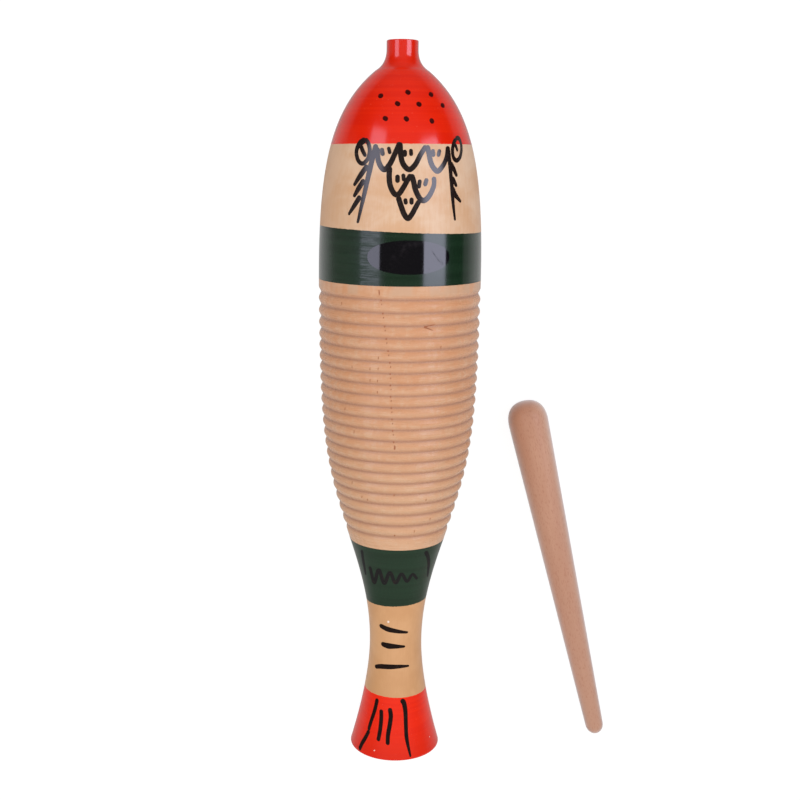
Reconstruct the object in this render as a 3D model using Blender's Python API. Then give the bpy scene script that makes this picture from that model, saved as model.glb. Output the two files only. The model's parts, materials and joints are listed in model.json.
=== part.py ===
"""A turned wooden fish guiro and its scraper, lying side by side on the ground.

The guiro is three lathe pieces glued end to end: a hollow head with an open
mouth, a hollow barrel with scraping ribs, and a solid tail handle that plugs
the barrel. Stations run along the guiro's axis from the mouth to the foot, in
metres. The origin is the middle of the footprint of both pieces, on the ground.
"""

import math

import bmesh
import bpy
from mathutils import Euler, Vector
from mathutils.geometry import interpolate_bezier

# Head, from the rim of the mouth to the joint with the barrel
HEAD_LENGTH = 0.1319
MOUTH_RADIUS = 0.0089
MOUTH_BORE_RADIUS = 0.006
MOUTH_RIM_ROUND = 0.0015
MOUTH_STRAIGHT = 0.005
NECK_LENGTH = 0.0115
SHOULDER_RADIUS = 0.0151
SHOULDER_SLOPE = math.radians(50.4)
HEAD_WALL = 0.005

# Barrel, from the joint with the head to the joint with the tail
BARREL_LENGTH = 0.1547
BELLY_RADIUS = 0.0467
BARREL_END_RADIUS = 0.0285
BARREL_END_SLOPE = math.radians(-17.9)
BARREL_WALL = 0.0065

# Ribs: rounded beads between narrow grooves. They stand a little wider apart
# near both ends, by two drifts from an even spacing.
RIB_PITCH = 0.0066
RIB_DEPTH = 0.0014
RIB_DRIFT = 0.001
RIB_SECOND_DRIFT = 0.0004
FIRST_GROOVE_FROM_HEAD = 0.0074
LAST_GROOVE_FROM_TAIL = 0.0085

# Tail handle, from the joint with the barrel to the flat end of the foot
TAIL_LENGTH = 0.1336
WAIST_FROM_BARREL = 0.0665
WAIST_RADIUS = 0.0158
FOOT_RADIUS = 0.0275
FOOT_SLOPE = math.radians(15.8)
FOOT_EDGE_ROUND = 0.001

# Glued joints: the barrel's spigot in the head, the tail's plug in the barrel
SPIGOT_LENGTH = 0.012
HEAD_LIP = 0.0031
PLUG_LENGTH = 0.030
SOCKET_WALL = 0.0065
GLUE_GAP = 0.0003

# Paint bands
RED_CAP_LENGTH = 0.0566
HEAD_GREEN_WIDTH = 0.0288
TAIL_GREEN_WIDTH = 0.0383
FOOT_RED_WIDTH = 0.0372

# Scraper
SCRAPER_LENGTH = 0.222
GRIP_RADIUS = 0.0123
GRIP_ROUND = 0.014
TIP_RADIUS = 0.0056
TIP_ROUND = 0.0065

# How the scraper lies beside the guiro
SCRAPER_ANGLE = math.radians(13.7)
SCRAPER_SIDE_GAP = 0.0187
SCRAPER_PAST_FOOT = 0.0027

# Pull of each turned curve at its two ends, as a share of the curve's length
NECK_PULL = (0.73, 0.08)
DOME_PULL = (0.287, 0.527)
BARREL_PULL = (0.597, 0.313)
WRIST_PULL = (0.379, 0.344)
FLARE_PULL = (0.190, 0.519)

# Facets: two more than a multiple of four turns a flat one to the ground
GUIRO_SEGMENTS = 42
SCRAPER_SEGMENTS = 26
NECK_STEPS = 4
DOME_STEPS = 12
BARREL_CURVE_STEPS = 60
BARREL_BORE_STEPS = 9
BEAD_STEPS = 4
WRIST_STEPS = 8
FLARE_STEPS = 8
ROUND_STEPS = 3
CAP_STEPS = 5
SHARP_ANGLE = math.radians(50)
MERGE_DISTANCE = 0.00001

# Stations along the axis
SHOULDER = MOUTH_STRAIGHT + NECK_LENGTH
BARREL_START = HEAD_LENGTH + GLUE_GAP
BARREL_END = BARREL_START + BARREL_LENGTH
TAIL_START = BARREL_END + GLUE_GAP
WAIST = TAIL_START + WAIST_FROM_BARREL
FOOT_END = TAIL_START + TAIL_LENGTH

# Radii of the joints
CHAMBER_RADIUS = BELLY_RADIUS - BARREL_WALL
REBATE_RADIUS = BELLY_RADIUS - HEAD_LIP
SPIGOT_RADIUS = REBATE_RADIUS - GLUE_GAP
SOCKET_RADIUS = BARREL_END_RADIUS - SOCKET_WALL
PLUG_RADIUS = SOCKET_RADIUS - GLUE_GAP


def remove_scene_objects():
    for scene_object in list(bpy.data.objects):
        bpy.data.objects.remove(scene_object, do_unlink=True)


def lacquer(name, color, roughness):
    """A plain finish for wood, bare or painted."""
    material = bpy.data.materials.new(name)
    material.use_nodes = True
    shader = material.node_tree.nodes["Principled BSDF"]
    shader.inputs["Base Color"].default_value = (*color, 1.0)
    shader.inputs["Roughness"].default_value = roughness
    shader.inputs["Metallic"].default_value = 0.0
    return material


def turned_curve(start, start_slope, end, end_slope, pull, steps):
    """Points (station, radius) along a smooth curve that leaves and arrives at the given slopes."""
    start = Vector(start)
    end = Vector(end)
    length = end.x - start.x
    leave = start + pull[0] * length * Vector((math.cos(start_slope), math.sin(start_slope)))
    arrive = end - pull[1] * length * Vector((math.cos(end_slope), math.sin(end_slope)))
    return [tuple(point) for point in interpolate_bezier(start, leave, arrive, end, steps + 1)]


def quarter_round(center, size, start_angle, end_angle, steps):
    """Points (station, radius) of an elliptic quarter; angle 0 points along the axis to the foot."""
    points = []
    for step in range(steps + 1):
        angle = start_angle + (end_angle - start_angle) * step / steps
        points.append((center[0] + size[0] * math.cos(angle), center[1] + size[1] * math.sin(angle)))
    return points


def offset_inward(points, wall):
    """The inside of a wall that follows a turned curve."""
    inside = []
    for index, (station, radius) in enumerate(points):
        before = points[max(index - 1, 0)]
        after = points[min(index + 1, len(points) - 1)]
        slope = math.atan2(after[1] - before[1], after[0] - before[0])
        inside.append((station + wall * math.sin(slope), radius - wall * math.cos(slope)))
    return inside


def radius_at(points, station):
    """The radius of a turned curve at one station."""
    for (near, near_radius), (far, far_radius) in zip(points, points[1:]):
        if station <= far:
            return near_radius + (far_radius - near_radius) * (station - near) / (far - near)
    return points[-1][1]


def with_station(points, station):
    """The same outline with one more point, where a paint band ends."""
    kept = [point for point in points if abs(point[0] - station) > MERGE_DISTANCE]
    return sorted(kept + [(station, radius_at(points, station))])


def head_outline():
    """Outside of the head, from the rim of the mouth to the joint."""
    rim = quarter_round(
        (MOUTH_RIM_ROUND, MOUTH_RADIUS - MOUTH_RIM_ROUND),
        (MOUTH_RIM_ROUND, MOUTH_RIM_ROUND),
        math.pi,
        math.pi / 2,
        ROUND_STEPS,
    )
    neck = turned_curve(
        (MOUTH_STRAIGHT, MOUTH_RADIUS),
        0.0,
        (SHOULDER, SHOULDER_RADIUS),
        SHOULDER_SLOPE,
        NECK_PULL,
        NECK_STEPS,
    )
    dome = dome_curve()
    dome = with_station(dome, RED_CAP_LENGTH)
    dome = with_station(dome, HEAD_LENGTH - HEAD_GREEN_WIDTH)
    return rim + neck[:-1] + dome


def dome_curve():
    return turned_curve(
        (SHOULDER, SHOULDER_RADIUS),
        SHOULDER_SLOPE,
        (HEAD_LENGTH, BELLY_RADIUS),
        0.0,
        DOME_PULL,
        DOME_STEPS,
    )


def head_profile():
    """Closed section of the head: down the outside, up the rebate, the hollow and the mouth's bore."""
    rebate_end = HEAD_LENGTH - SPIGOT_LENGTH - GLUE_GAP
    hollow = offset_inward(dome_curve(), HEAD_WALL)
    hollow_edge = (rebate_end, radius_at(hollow, rebate_end))
    hollow = [point for point in hollow if point[0] < rebate_end - GLUE_GAP]
    inside = [(HEAD_LENGTH, REBATE_RADIUS), (rebate_end, REBATE_RADIUS), hollow_edge]
    inside += reversed(hollow)
    inside += [(SHOULDER, MOUTH_BORE_RADIUS), (0.0, MOUTH_BORE_RADIUS)]
    return head_outline() + inside


def barrel_curve():
    """The barrel's outside over the tops of the ribs."""
    return turned_curve(
        (BARREL_START, BELLY_RADIUS),
        0.0,
        (BARREL_END, BARREL_END_RADIUS),
        BARREL_END_SLOPE,
        BARREL_PULL,
        BARREL_CURVE_STEPS,
    )


def groove_stations():
    """The bottom of each groove along the axis."""
    first = BARREL_START + FIRST_GROOVE_FROM_HEAD
    last = BARREL_END - LAST_GROOVE_FROM_TAIL
    spaces = max(1, round((last - first) / RIB_PITCH))
    stations = []
    for groove in range(spaces + 1):
        share = groove / spaces
        drift = RIB_DRIFT * math.sin(2 * math.pi * share)
        drift += RIB_SECOND_DRIFT * math.sin(4 * math.pi * share)
        stations.append(first + (last - first) * share + drift)
    return stations


def ribbed_outline():
    """Outside of the barrel: plain ends, and a bead of parabolic section between each two grooves."""
    crest = barrel_curve()
    grooves = groove_stations()
    half = RIB_PITCH / 2
    edges = [grooves[0] - 2 * half] + grooves + [grooves[-1] + 2 * half]
    outline = [(BARREL_START, BELLY_RADIUS)]
    for bead, (near, far) in enumerate(zip(edges, edges[1:])):
        first_step = BEAD_STEPS // 2 if bead == 0 else 0
        last_step = BEAD_STEPS // 2 if bead == len(edges) - 2 else BEAD_STEPS - 1
        for step in range(first_step, last_step + 1):
            share = step / BEAD_STEPS
            station = near + (far - near) * share
            depth = RIB_DEPTH * (2 * share - 1) ** 2
            outline.append((station, radius_at(crest, station) - depth))
    outline.append((BARREL_END, BARREL_END_RADIUS))
    return outline


def barrel_profile():
    """Closed section of the barrel: outside, socket for the tail, chamber, and spigot for the head."""
    socket_top = BARREL_END - PLUG_LENGTH
    chamber = offset_inward(barrel_curve(), BARREL_WALL)
    bore = []
    for step in range(BARREL_BORE_STEPS + 1):
        station = BARREL_START + (socket_top - BARREL_START) * step / BARREL_BORE_STEPS
        bore.append((station, radius_at(chamber, station)))
    inside = [(BARREL_END, SOCKET_RADIUS), (socket_top, SOCKET_RADIUS)]
    inside += reversed(bore)
    spigot_end = HEAD_LENGTH - SPIGOT_LENGTH
    spigot = [
        (spigot_end, CHAMBER_RADIUS),
        (spigot_end, SPIGOT_RADIUS),
        (BARREL_START, SPIGOT_RADIUS),
    ]
    return ribbed_outline() + inside + spigot


def tail_outline():
    """Outside of the tail, from the joint to the edge of the flat foot."""
    wrist = turned_curve(
        (TAIL_START, BARREL_END_RADIUS),
        BARREL_END_SLOPE,
        (WAIST, WAIST_RADIUS),
        0.0,
        WRIST_PULL,
        WRIST_STEPS,
    )
    flare = turned_curve(
        (WAIST, WAIST_RADIUS),
        0.0,
        (FOOT_END, FOOT_RADIUS),
        FOOT_SLOPE,
        FLARE_PULL,
        FLARE_STEPS,
    )
    edge_start = FOOT_END - FOOT_EDGE_ROUND
    edge_radius = radius_at(flare, edge_start)
    flare = [point for point in flare if point[0] < edge_start - MERGE_DISTANCE]
    edge = quarter_round(
        (edge_start, edge_radius - FOOT_EDGE_ROUND),
        (FOOT_EDGE_ROUND, FOOT_EDGE_ROUND),
        math.pi / 2,
        0.0,
        ROUND_STEPS,
    )
    body = with_station(wrist + flare[1:], TAIL_START + TAIL_GREEN_WIDTH)
    body = with_station(body, FOOT_END - FOOT_RED_WIDTH)
    return body + edge


def tail_profile():
    """Section of the solid tail, from the end of its plug to the middle of the foot."""
    plug_top = BARREL_END - PLUG_LENGTH
    plug = [(plug_top, 0.0), (plug_top, PLUG_RADIUS), (TAIL_START, PLUG_RADIUS)]
    return plug + tail_outline() + [(FOOT_END, 0.0)]


def scraper_profile():
    """Section of the scraper from its rounded grip end to its rounded tip."""
    grip = quarter_round(
        (GRIP_ROUND, 0.0), (GRIP_ROUND, GRIP_RADIUS), math.pi, math.pi / 2, CAP_STEPS
    )
    tip = quarter_round(
        (SCRAPER_LENGTH - TIP_ROUND, 0.0), (TIP_ROUND, TIP_RADIUS), math.pi / 2, 0.0, CAP_STEPS
    )
    return grip + tip


def turn(name, profile, length, segments, closed, paint):
    """Turn a section round the axis; local Z runs from the far end up to station 0.

    paint lists (station where a finish ends, material), in order along the axis.
    """
    sketch = bmesh.new()
    corners = [sketch.verts.new((radius, 0.0, length - station)) for station, radius in profile]
    following = corners[1:] + corners[:1] if closed else corners[1:]
    for near, far in zip(corners, following):
        sketch.edges.new((near, far))
    bmesh.ops.spin(
        sketch,
        geom=sketch.verts[:] + sketch.edges[:],
        cent=(0.0, 0.0, 0.0),
        axis=(0.0, 0.0, 1.0),
        angle=2 * math.pi,
        steps=segments,
        use_merge=True,
    )
    bmesh.ops.remove_doubles(sketch, verts=sketch.verts[:], dist=MERGE_DISTANCE)
    bmesh.ops.recalc_face_normals(sketch, faces=sketch.faces[:])
    for face in sketch.faces:
        station = length - face.calc_center_median().z
        face.material_index = sum(station > end for end, _ in paint[:-1])
    mesh = bpy.data.meshes.new(name)
    sketch.to_mesh(mesh)
    sketch.free()
    for _, material in paint:
        mesh.materials.append(material)
    mesh.shade_smooth()
    mesh.set_sharp_from_angle(angle=SHARP_ANGLE)
    piece = bpy.data.objects.new(name, mesh)
    bpy.context.collection.objects.link(piece)
    return piece


def ground_contacts(outline, length, segments):
    """The two points of a turned outline that it lies on, as (height along Z, distance of the facet)."""
    facet = math.cos(math.pi / segments)
    points = sorted((length - station, radius * facet) for station, radius in outline)
    hull = []
    for point in points:
        while len(hull) > 1 and turns_outward(hull[-2], hull[-1], point):
            hull.pop()
        hull.append(point)
    return max(zip(hull, hull[1:]), key=lambda pair: pair[1][0] - pair[0][0])


def turns_outward(first, middle, last):
    """True where the middle point lies inside the straight line from first to last."""
    along = (middle[0] - first[0]) * (last[1] - first[1])
    across = (middle[1] - first[1]) * (last[0] - first[0])
    return across <= along


def lay_down(name, outline, length, segments, heading, pieces):
    """Parent pieces to an empty that lays their shared axis on the ground, far end at the empty."""
    low, high = ground_contacts(outline, length, segments)
    tilt = math.atan2(high[1] - low[1], high[0] - low[0])
    cradle = bpy.data.objects.new(name, None)
    cradle.rotation_euler = Euler((tilt - math.pi / 2, 0.0, heading))
    cradle.location.z = low[1] * math.cos(tilt) - low[0] * math.sin(tilt)
    bpy.context.collection.objects.link(cradle)
    for piece in pieces:
        piece.parent = cradle
    return cradle


def footprint_center(pieces):
    """The middle of the box round the pieces, seen from above."""
    bpy.context.view_layer.update()
    corners = [piece.matrix_world @ vertex.co for piece in pieces for vertex in piece.data.vertices]
    across = [corner.x for corner in corners]
    along = [corner.y for corner in corners]
    return Vector(((min(across) + max(across)) / 2, (min(along) + max(along)) / 2, 0.0))


def build():
    remove_scene_objects()
    red = lacquer("red_paint", (0.75, 0.02, 0.006), 0.3)
    green = lacquer("green_paint", (0.008, 0.04, 0.018), 0.25)
    varnished = lacquer("varnished_wood", (0.74, 0.48, 0.26), 0.35)
    bare = lacquer("bare_wood", (0.72, 0.42, 0.23), 0.6)
    beech = lacquer("beech", (0.6, 0.33, 0.2), 0.5)

    head = turn(
        "head_shell",
        head_profile(),
        FOOT_END,
        GUIRO_SEGMENTS,
        True,
        [(RED_CAP_LENGTH, red), (HEAD_LENGTH - HEAD_GREEN_WIDTH, varnished), (HEAD_LENGTH, green)],
    )
    barrel = turn(
        "ribbed_barrel", barrel_profile(), FOOT_END, GUIRO_SEGMENTS, True, [(BARREL_END, bare)]
    )
    tail = turn(
        "tail_handle",
        tail_profile(),
        FOOT_END,
        GUIRO_SEGMENTS,
        False,
        [
            (TAIL_START + TAIL_GREEN_WIDTH, green),
            (FOOT_END - FOOT_RED_WIDTH, varnished),
            (FOOT_END, red),
        ],
    )
    scraper = turn(
        "scraper",
        scraper_profile(),
        SCRAPER_LENGTH,
        SCRAPER_SEGMENTS,
        False,
        [(SCRAPER_LENGTH, beech)],
    )

    guiro_outline = head_outline() + ribbed_outline() + tail_outline()
    guiro = lay_down("guiro", guiro_outline, FOOT_END, GUIRO_SEGMENTS, 0.0, [head, barrel, tail])
    rest = lay_down(
        "scraper_rest", scraper_profile(), SCRAPER_LENGTH, SCRAPER_SEGMENTS, SCRAPER_ANGLE, [scraper]
    )
    grip_offset = BELLY_RADIUS + SCRAPER_SIDE_GAP + GRIP_RADIUS * math.cos(SCRAPER_ANGLE)
    rest.location.x = grip_offset + SCRAPER_LENGTH * math.sin(SCRAPER_ANGLE)
    rest.location.y = -SCRAPER_PAST_FOOT

    center = footprint_center([head, barrel, tail, scraper])
    guiro.location -= center
    rest.location -= center


build()
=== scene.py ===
"""Looks of a turned wooden fish guiro and its scraper, lying on a white ground.

Stations run along the guiro's axis from the mouth to the foot. A mark on its surface is placed
by its distance across from the front line, right positive, and by its station. Sizes are in
metres, apart from the marker drawing, the wood marks and the sticker, which are in millimetres.
"""

import json
import math
from bisect import bisect_right
from functools import partial, reduce

import bmesh
import bpy
from mathutils import Matrix, Vector
from mathutils.geometry import interpolate_bezier


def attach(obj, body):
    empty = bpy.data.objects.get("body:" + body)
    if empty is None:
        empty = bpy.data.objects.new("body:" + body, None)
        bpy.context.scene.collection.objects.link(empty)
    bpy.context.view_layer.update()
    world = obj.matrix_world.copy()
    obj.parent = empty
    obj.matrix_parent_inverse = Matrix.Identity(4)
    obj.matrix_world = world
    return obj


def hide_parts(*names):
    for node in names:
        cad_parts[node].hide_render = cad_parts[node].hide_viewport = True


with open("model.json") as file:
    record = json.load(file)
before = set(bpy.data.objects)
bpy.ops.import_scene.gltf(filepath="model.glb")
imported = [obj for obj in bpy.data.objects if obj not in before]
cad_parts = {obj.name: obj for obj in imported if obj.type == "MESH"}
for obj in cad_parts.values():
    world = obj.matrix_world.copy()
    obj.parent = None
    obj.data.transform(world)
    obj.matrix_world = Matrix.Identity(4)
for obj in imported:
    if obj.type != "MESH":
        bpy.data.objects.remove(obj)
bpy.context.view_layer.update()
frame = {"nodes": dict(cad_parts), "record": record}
MM = 0.001

# Head, from the rim of the mouth to the joint with the barrel
HEAD_LENGTH = 0.1319
MOUTH_RADIUS = 0.0089
MOUTH_BORE_RADIUS = 0.006
MOUTH_RIM_ROUND = 0.0006
MOUTH_STRAIGHT = 0.005
NECK_LENGTH = 0.0115
SHOULDER_RADIUS = 0.0151
SHOULDER_SLOPE = math.radians(50.4)
HEAD_WALL = 0.005

# Barrel, from the joint with the head to the joint with the tail
BARREL_LENGTH = 0.1547
BELLY_RADIUS = 0.0467
BARREL_END_RADIUS = 0.0285
BARREL_END_SLOPE = math.radians(-17.9)
BARREL_WALL = 0.0065

# Ribs: rounded beads between narrow grooves, a little wider apart near both ends
RIB_PITCH = 0.0066
RIB_DEPTH = 0.0014
RIB_DRIFT = 0.001
RIB_SECOND_DRIFT = 0.0004
GROOVE_ROUNDING = 0.55
GROOVE_FALL = 2.0
GROOVE_FALL_AT_HEAD = 3.2
FIRST_GROOVE_FROM_HEAD = 0.0074
LAST_GROOVE_FROM_TAIL = 0.0085

# Tail handle, from the joint with the barrel to the flat end of the foot
TAIL_LENGTH = 0.1336
WAIST_FROM_BARREL = 0.0665
WAIST_RADIUS = 0.0158
FOOT_RADIUS = 0.0275
FOOT_SLOPE = math.radians(15.8)
FOOT_EDGE_ROUND = 0.001

# Glued joints; the glue line is closed to a hair
SPIGOT_LENGTH = 0.012
HEAD_LIP = 0.0031
PLUG_LENGTH = 0.030
SOCKET_WALL = 0.0065
JOINT_LENGTH = 0.0003
GLUE_LINE = 0.0001

# Paint bands
RED_CAP_LENGTH = 0.0566
HEAD_GREEN_WIDTH = 0.0288
TAIL_GREEN_WIDTH = 0.0383
FOOT_RED_WIDTH = 0.0372

# Lean of the paint rings, in metres along the axis for a metre across
RED_TILT = -0.009
HEAD_GREEN_TILT = 0.031
TAIL_GREEN_TILT = -0.044
FOOT_TILT = 0.017

# Scraper
SCRAPER_LENGTH = 0.222
GRIP_RADIUS = 0.0123
GRIP_ROUND = 0.014
GRIP_SQUARENESS = 2.4
TIP_RADIUS = 0.0056
TIP_ROUND = 0.0065
SCRAPER_ANGLE = math.radians(13.7)

# Pull of each turned curve at its two ends, as a share of the curve's length
NECK_PULL = (0.73, 0.08)
DOME_PULL = (0.287, 0.527)
BARREL_PULL = (0.597, 0.313)
WRIST_PULL = (0.379, 0.344)
FLARE_PULL = (0.190, 0.519)

# Fineness of the meshes
SEGMENTS = 256
SCRAPER_SEGMENTS = 128
CURVE_STEPS = 48
BARREL_CURVE_STEPS = 240
BEAD_STEPS = 14
ROUND_STEPS = 12
SLOPE_STEP = 0.2 * MM
SHARP_ANGLE = math.radians(50)
MERGE_DISTANCE = 0.01 * MM

# Squareness of a round whose outline is an ellipse
ELLIPSE = 2.0

# Attributes of the meshes
PLACE = "axis_position"
GROOVE = "groove"
FLANK = "flank"

# Stations and radii of the joints
SHOULDER = MOUTH_STRAIGHT + NECK_LENGTH
BARREL_START = HEAD_LENGTH + JOINT_LENGTH
BARREL_END = BARREL_START + BARREL_LENGTH
TAIL_START = BARREL_END + JOINT_LENGTH
WAIST = TAIL_START + WAIST_FROM_BARREL
FOOT_END = TAIL_START + TAIL_LENGTH
HEAD_JOINT = HEAD_LENGTH + GLUE_LINE
TAIL_JOINT = TAIL_START - GLUE_LINE
CHAMBER_RADIUS = BELLY_RADIUS - BARREL_WALL
REBATE_RADIUS = BELLY_RADIUS - HEAD_LIP
SPIGOT_RADIUS = REBATE_RADIUS - JOINT_LENGTH
SOCKET_RADIUS = BARREL_END_RADIUS - SOCKET_WALL
PLUG_RADIUS = SOCKET_RADIUS - JOINT_LENGTH


# Turned outlines

def turned_curve(start, start_slope, end, end_slope, pull, steps):
    """Points (station, radius) along a smooth curve that leaves and arrives at the given slopes."""
    start = Vector(start)
    end = Vector(end)
    length = end.x - start.x
    leave = start + pull[0] * length * Vector((math.cos(start_slope), math.sin(start_slope)))
    arrive = end - pull[1] * length * Vector((math.cos(end_slope), math.sin(end_slope)))
    return [tuple(point) for point in interpolate_bezier(start, leave, arrive, end, steps + 1)]


def round_point(angle, squareness):
    """A point of a unit round, which is a circle, or fuller where it is squarer than an ellipse."""
    cosine, sine = math.cos(angle), math.sin(angle)
    reach = (abs(cosine) ** squareness + abs(sine) ** squareness) ** (-1 / squareness)
    return reach * cosine, reach * sine


def quarter_round(center, size, start_angle, end_angle, squareness=ELLIPSE):
    """Points (station, radius) of a quarter round; angle 0 points along the axis to the foot."""
    points = []
    for step in range(ROUND_STEPS + 1):
        angle = start_angle + (end_angle - start_angle) * step / ROUND_STEPS
        along, out = round_point(angle, squareness)
        points.append((center[0] + size[0] * along, center[1] + size[1] * out))
    return points


def offset_inward(points, wall):
    """The inside of a wall that follows a turned curve."""
    inside = []
    for index, (station, radius) in enumerate(points):
        before = points[max(index - 1, 0)]
        after = points[min(index + 1, len(points) - 1)]
        slope = math.atan2(after[1] - before[1], after[0] - before[0])
        inside.append((station + wall * math.sin(slope), radius - wall * math.cos(slope)))
    return inside


def radius_at(points, station):
    """The radius of an outline at one station."""
    index = bisect_right(points, (station, math.inf))
    index = min(max(index, 1), len(points) - 1)
    near, near_radius = points[index - 1]
    far, far_radius = points[index]
    share = min(max((station - near) / max(far - near, MERGE_DISTANCE), 0.0), 1.0)
    return near_radius + (far_radius - near_radius) * share


def dome_curve():
    """Outside of the head from its shoulder to the joint."""
    return turned_curve(
        (SHOULDER, SHOULDER_RADIUS),
        SHOULDER_SLOPE,
        (HEAD_LENGTH, BELLY_RADIUS),
        0.0,
        DOME_PULL,
        CURVE_STEPS,
    )


def head_outline():
    """Outside of the head, from the rim of the mouth to the joint."""
    rim = quarter_round(
        (MOUTH_RIM_ROUND, MOUTH_RADIUS - MOUTH_RIM_ROUND),
        (MOUTH_RIM_ROUND, MOUTH_RIM_ROUND),
        math.pi,
        math.pi / 2,
    )
    neck = turned_curve(
        (MOUTH_STRAIGHT, MOUTH_RADIUS),
        0.0,
        (SHOULDER, SHOULDER_RADIUS),
        SHOULDER_SLOPE,
        NECK_PULL,
        CURVE_STEPS // 2,
    )
    return rim + neck[:-1] + dome_curve()


def head_profile():
    """Closed section of the head: down the outside, up the rebate, the hollow and the mouth's bore."""
    rebate_end = HEAD_LENGTH - SPIGOT_LENGTH - JOINT_LENGTH
    hollow = offset_inward(dome_curve(), HEAD_WALL)
    hollow_edge = (rebate_end, radius_at(hollow, rebate_end))
    hollow = [point for point in hollow if point[0] < rebate_end - JOINT_LENGTH]
    inside = [(HEAD_LENGTH, REBATE_RADIUS), (rebate_end, REBATE_RADIUS), hollow_edge]
    inside += reversed(hollow)
    bore = quarter_round(
        (MOUTH_RIM_ROUND / 2, MOUTH_BORE_RADIUS + MOUTH_RIM_ROUND / 2),
        (MOUTH_RIM_ROUND / 2, MOUTH_RIM_ROUND / 2),
        -math.pi / 2,
        -math.pi,
    )
    return head_outline() + inside + [(SHOULDER, MOUTH_BORE_RADIUS)] + bore


def barrel_curve():
    """The barrel's outside over the tops of the ribs."""
    return turned_curve(
        (BARREL_START, BELLY_RADIUS),
        0.0,
        (BARREL_END, BARREL_END_RADIUS),
        BARREL_END_SLOPE,
        BARREL_PULL,
        BARREL_CURVE_STEPS,
    )


def groove_stations():
    """The bottom of each groove along the axis."""
    first = BARREL_START + FIRST_GROOVE_FROM_HEAD
    last = BARREL_END - LAST_GROOVE_FROM_TAIL
    spaces = round((last - first) / RIB_PITCH)
    stations = []
    for groove in range(spaces + 1):
        share = groove / spaces
        drift = RIB_DRIFT * math.sin(2 * math.pi * share)
        drift += RIB_SECOND_DRIFT * math.sin(4 * math.pi * share)
        stations.append(first + (last - first) * share + drift)
    return stations


def bead_edges():
    """Ends of every bead; the first and the last bead are only half there."""
    grooves = groove_stations()
    return [grooves[0] - RIB_PITCH] + grooves + [grooves[-1] + RIB_PITCH]


def rib_wave(profile):
    """Two values for each point of the barrel's section: its depth in a groove, and its flank of a bead.

    The depth falls off faster on the side of a bead that faces the mouth, most of all near the head.
    The flank is -1 on that side and 1 on the side that faces the tail.
    """
    edges = bead_edges()
    crest = barrel_curve()
    waves = []
    for station, radius in profile:
        outside = radius > radius_at(crest, station) - 2 * RIB_DEPTH
        if outside and edges[0] + RIB_PITCH / 2 < station < edges[-1] - RIB_PITCH / 2:
            after = bisect_right(edges, station)
            near, far = edges[after - 1], edges[after]
            share = 2 * (station - near) / (far - near) - 1
            along = (station - edges[0]) / (edges[-1] - edges[0])
            mouth_side_fall = GROOVE_FALL_AT_HEAD + (GROOVE_FALL - GROOVE_FALL_AT_HEAD) * along
            # The depth sets the painted shade in the grooves, and the flank the painted light and shade on
            # a bead's sides
            depth = abs(share) ** (GROOVE_FALL if share > 0 else mouth_side_fall)
            waves.append((depth, math.sin(math.pi * share)))
        else:
            waves.append((0.0, 0.0))
    return waves


def bead_depth(share):
    """How far a bead has fallen off at a share of its half width: a round top and a narrow groove."""
    return (1 - GROOVE_ROUNDING) * share ** 2 + GROOVE_ROUNDING * math.sin(math.pi * share / 2) ** 2


def ribbed_outline():
    """Outside of the barrel: plain ends, and a bead between each two grooves."""
    crest = barrel_curve()
    edges = bead_edges()
    outline = [(HEAD_JOINT, BELLY_RADIUS)]
    for bead, (near, far) in enumerate(zip(edges, edges[1:])):
        first_step = BEAD_STEPS // 2 if bead == 0 else 0
        last_step = BEAD_STEPS // 2 if bead == len(edges) - 2 else BEAD_STEPS - 1
        for step in range(first_step, last_step + 1):
            share = step / BEAD_STEPS
            station = near + (far - near) * share
            depth = RIB_DEPTH * bead_depth(2 * share - 1)
            outline.append((station, radius_at(crest, station) - depth))
    outline.append((TAIL_JOINT, BARREL_END_RADIUS))
    return outline


def barrel_profile():
    """Closed section of the barrel: outside, socket for the tail, chamber, and spigot for the head."""
    socket_top = BARREL_END - PLUG_LENGTH
    chamber = offset_inward(barrel_curve(), BARREL_WALL)
    bore = []
    for step in range(CURVE_STEPS + 1):
        station = BARREL_START + (socket_top - BARREL_START) * step / CURVE_STEPS
        bore.append((station, radius_at(chamber, station)))
    inside = [(TAIL_JOINT, SOCKET_RADIUS), (socket_top, SOCKET_RADIUS)]
    inside += reversed(bore)
    spigot_end = HEAD_LENGTH - SPIGOT_LENGTH
    spigot = [
        (spigot_end, CHAMBER_RADIUS),
        (spigot_end, SPIGOT_RADIUS),
        (HEAD_JOINT, SPIGOT_RADIUS),
    ]
    return ribbed_outline() + inside + spigot


def tail_outline():
    """Outside of the tail, from the joint to the edge of the flat foot."""
    wrist = turned_curve(
        (TAIL_START, BARREL_END_RADIUS),
        BARREL_END_SLOPE,
        (WAIST, WAIST_RADIUS),
        0.0,
        WRIST_PULL,
        CURVE_STEPS,
    )
    flare = turned_curve(
        (WAIST, WAIST_RADIUS),
        0.0,
        (FOOT_END, FOOT_RADIUS),
        FOOT_SLOPE,
        FLARE_PULL,
        CURVE_STEPS,
    )
    edge_start = FOOT_END - FOOT_EDGE_ROUND
    edge_radius = radius_at(flare, edge_start)
    flare = [point for point in flare if point[0] < edge_start - MERGE_DISTANCE]
    edge = quarter_round(
        (edge_start, edge_radius - FOOT_EDGE_ROUND),
        (FOOT_EDGE_ROUND, FOOT_EDGE_ROUND),
        math.pi / 2,
        0.0,
    )
    return wrist + flare[1:] + edge


def tail_profile():
    """Section of the solid tail, from the end of its plug to the middle of the foot."""
    plug_top = BARREL_END - PLUG_LENGTH + JOINT_LENGTH
    plug = [(plug_top, 0.0), (plug_top, PLUG_RADIUS), (TAIL_START, PLUG_RADIUS)]
    return plug + tail_outline() + [(FOOT_END, 0.0)]


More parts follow.
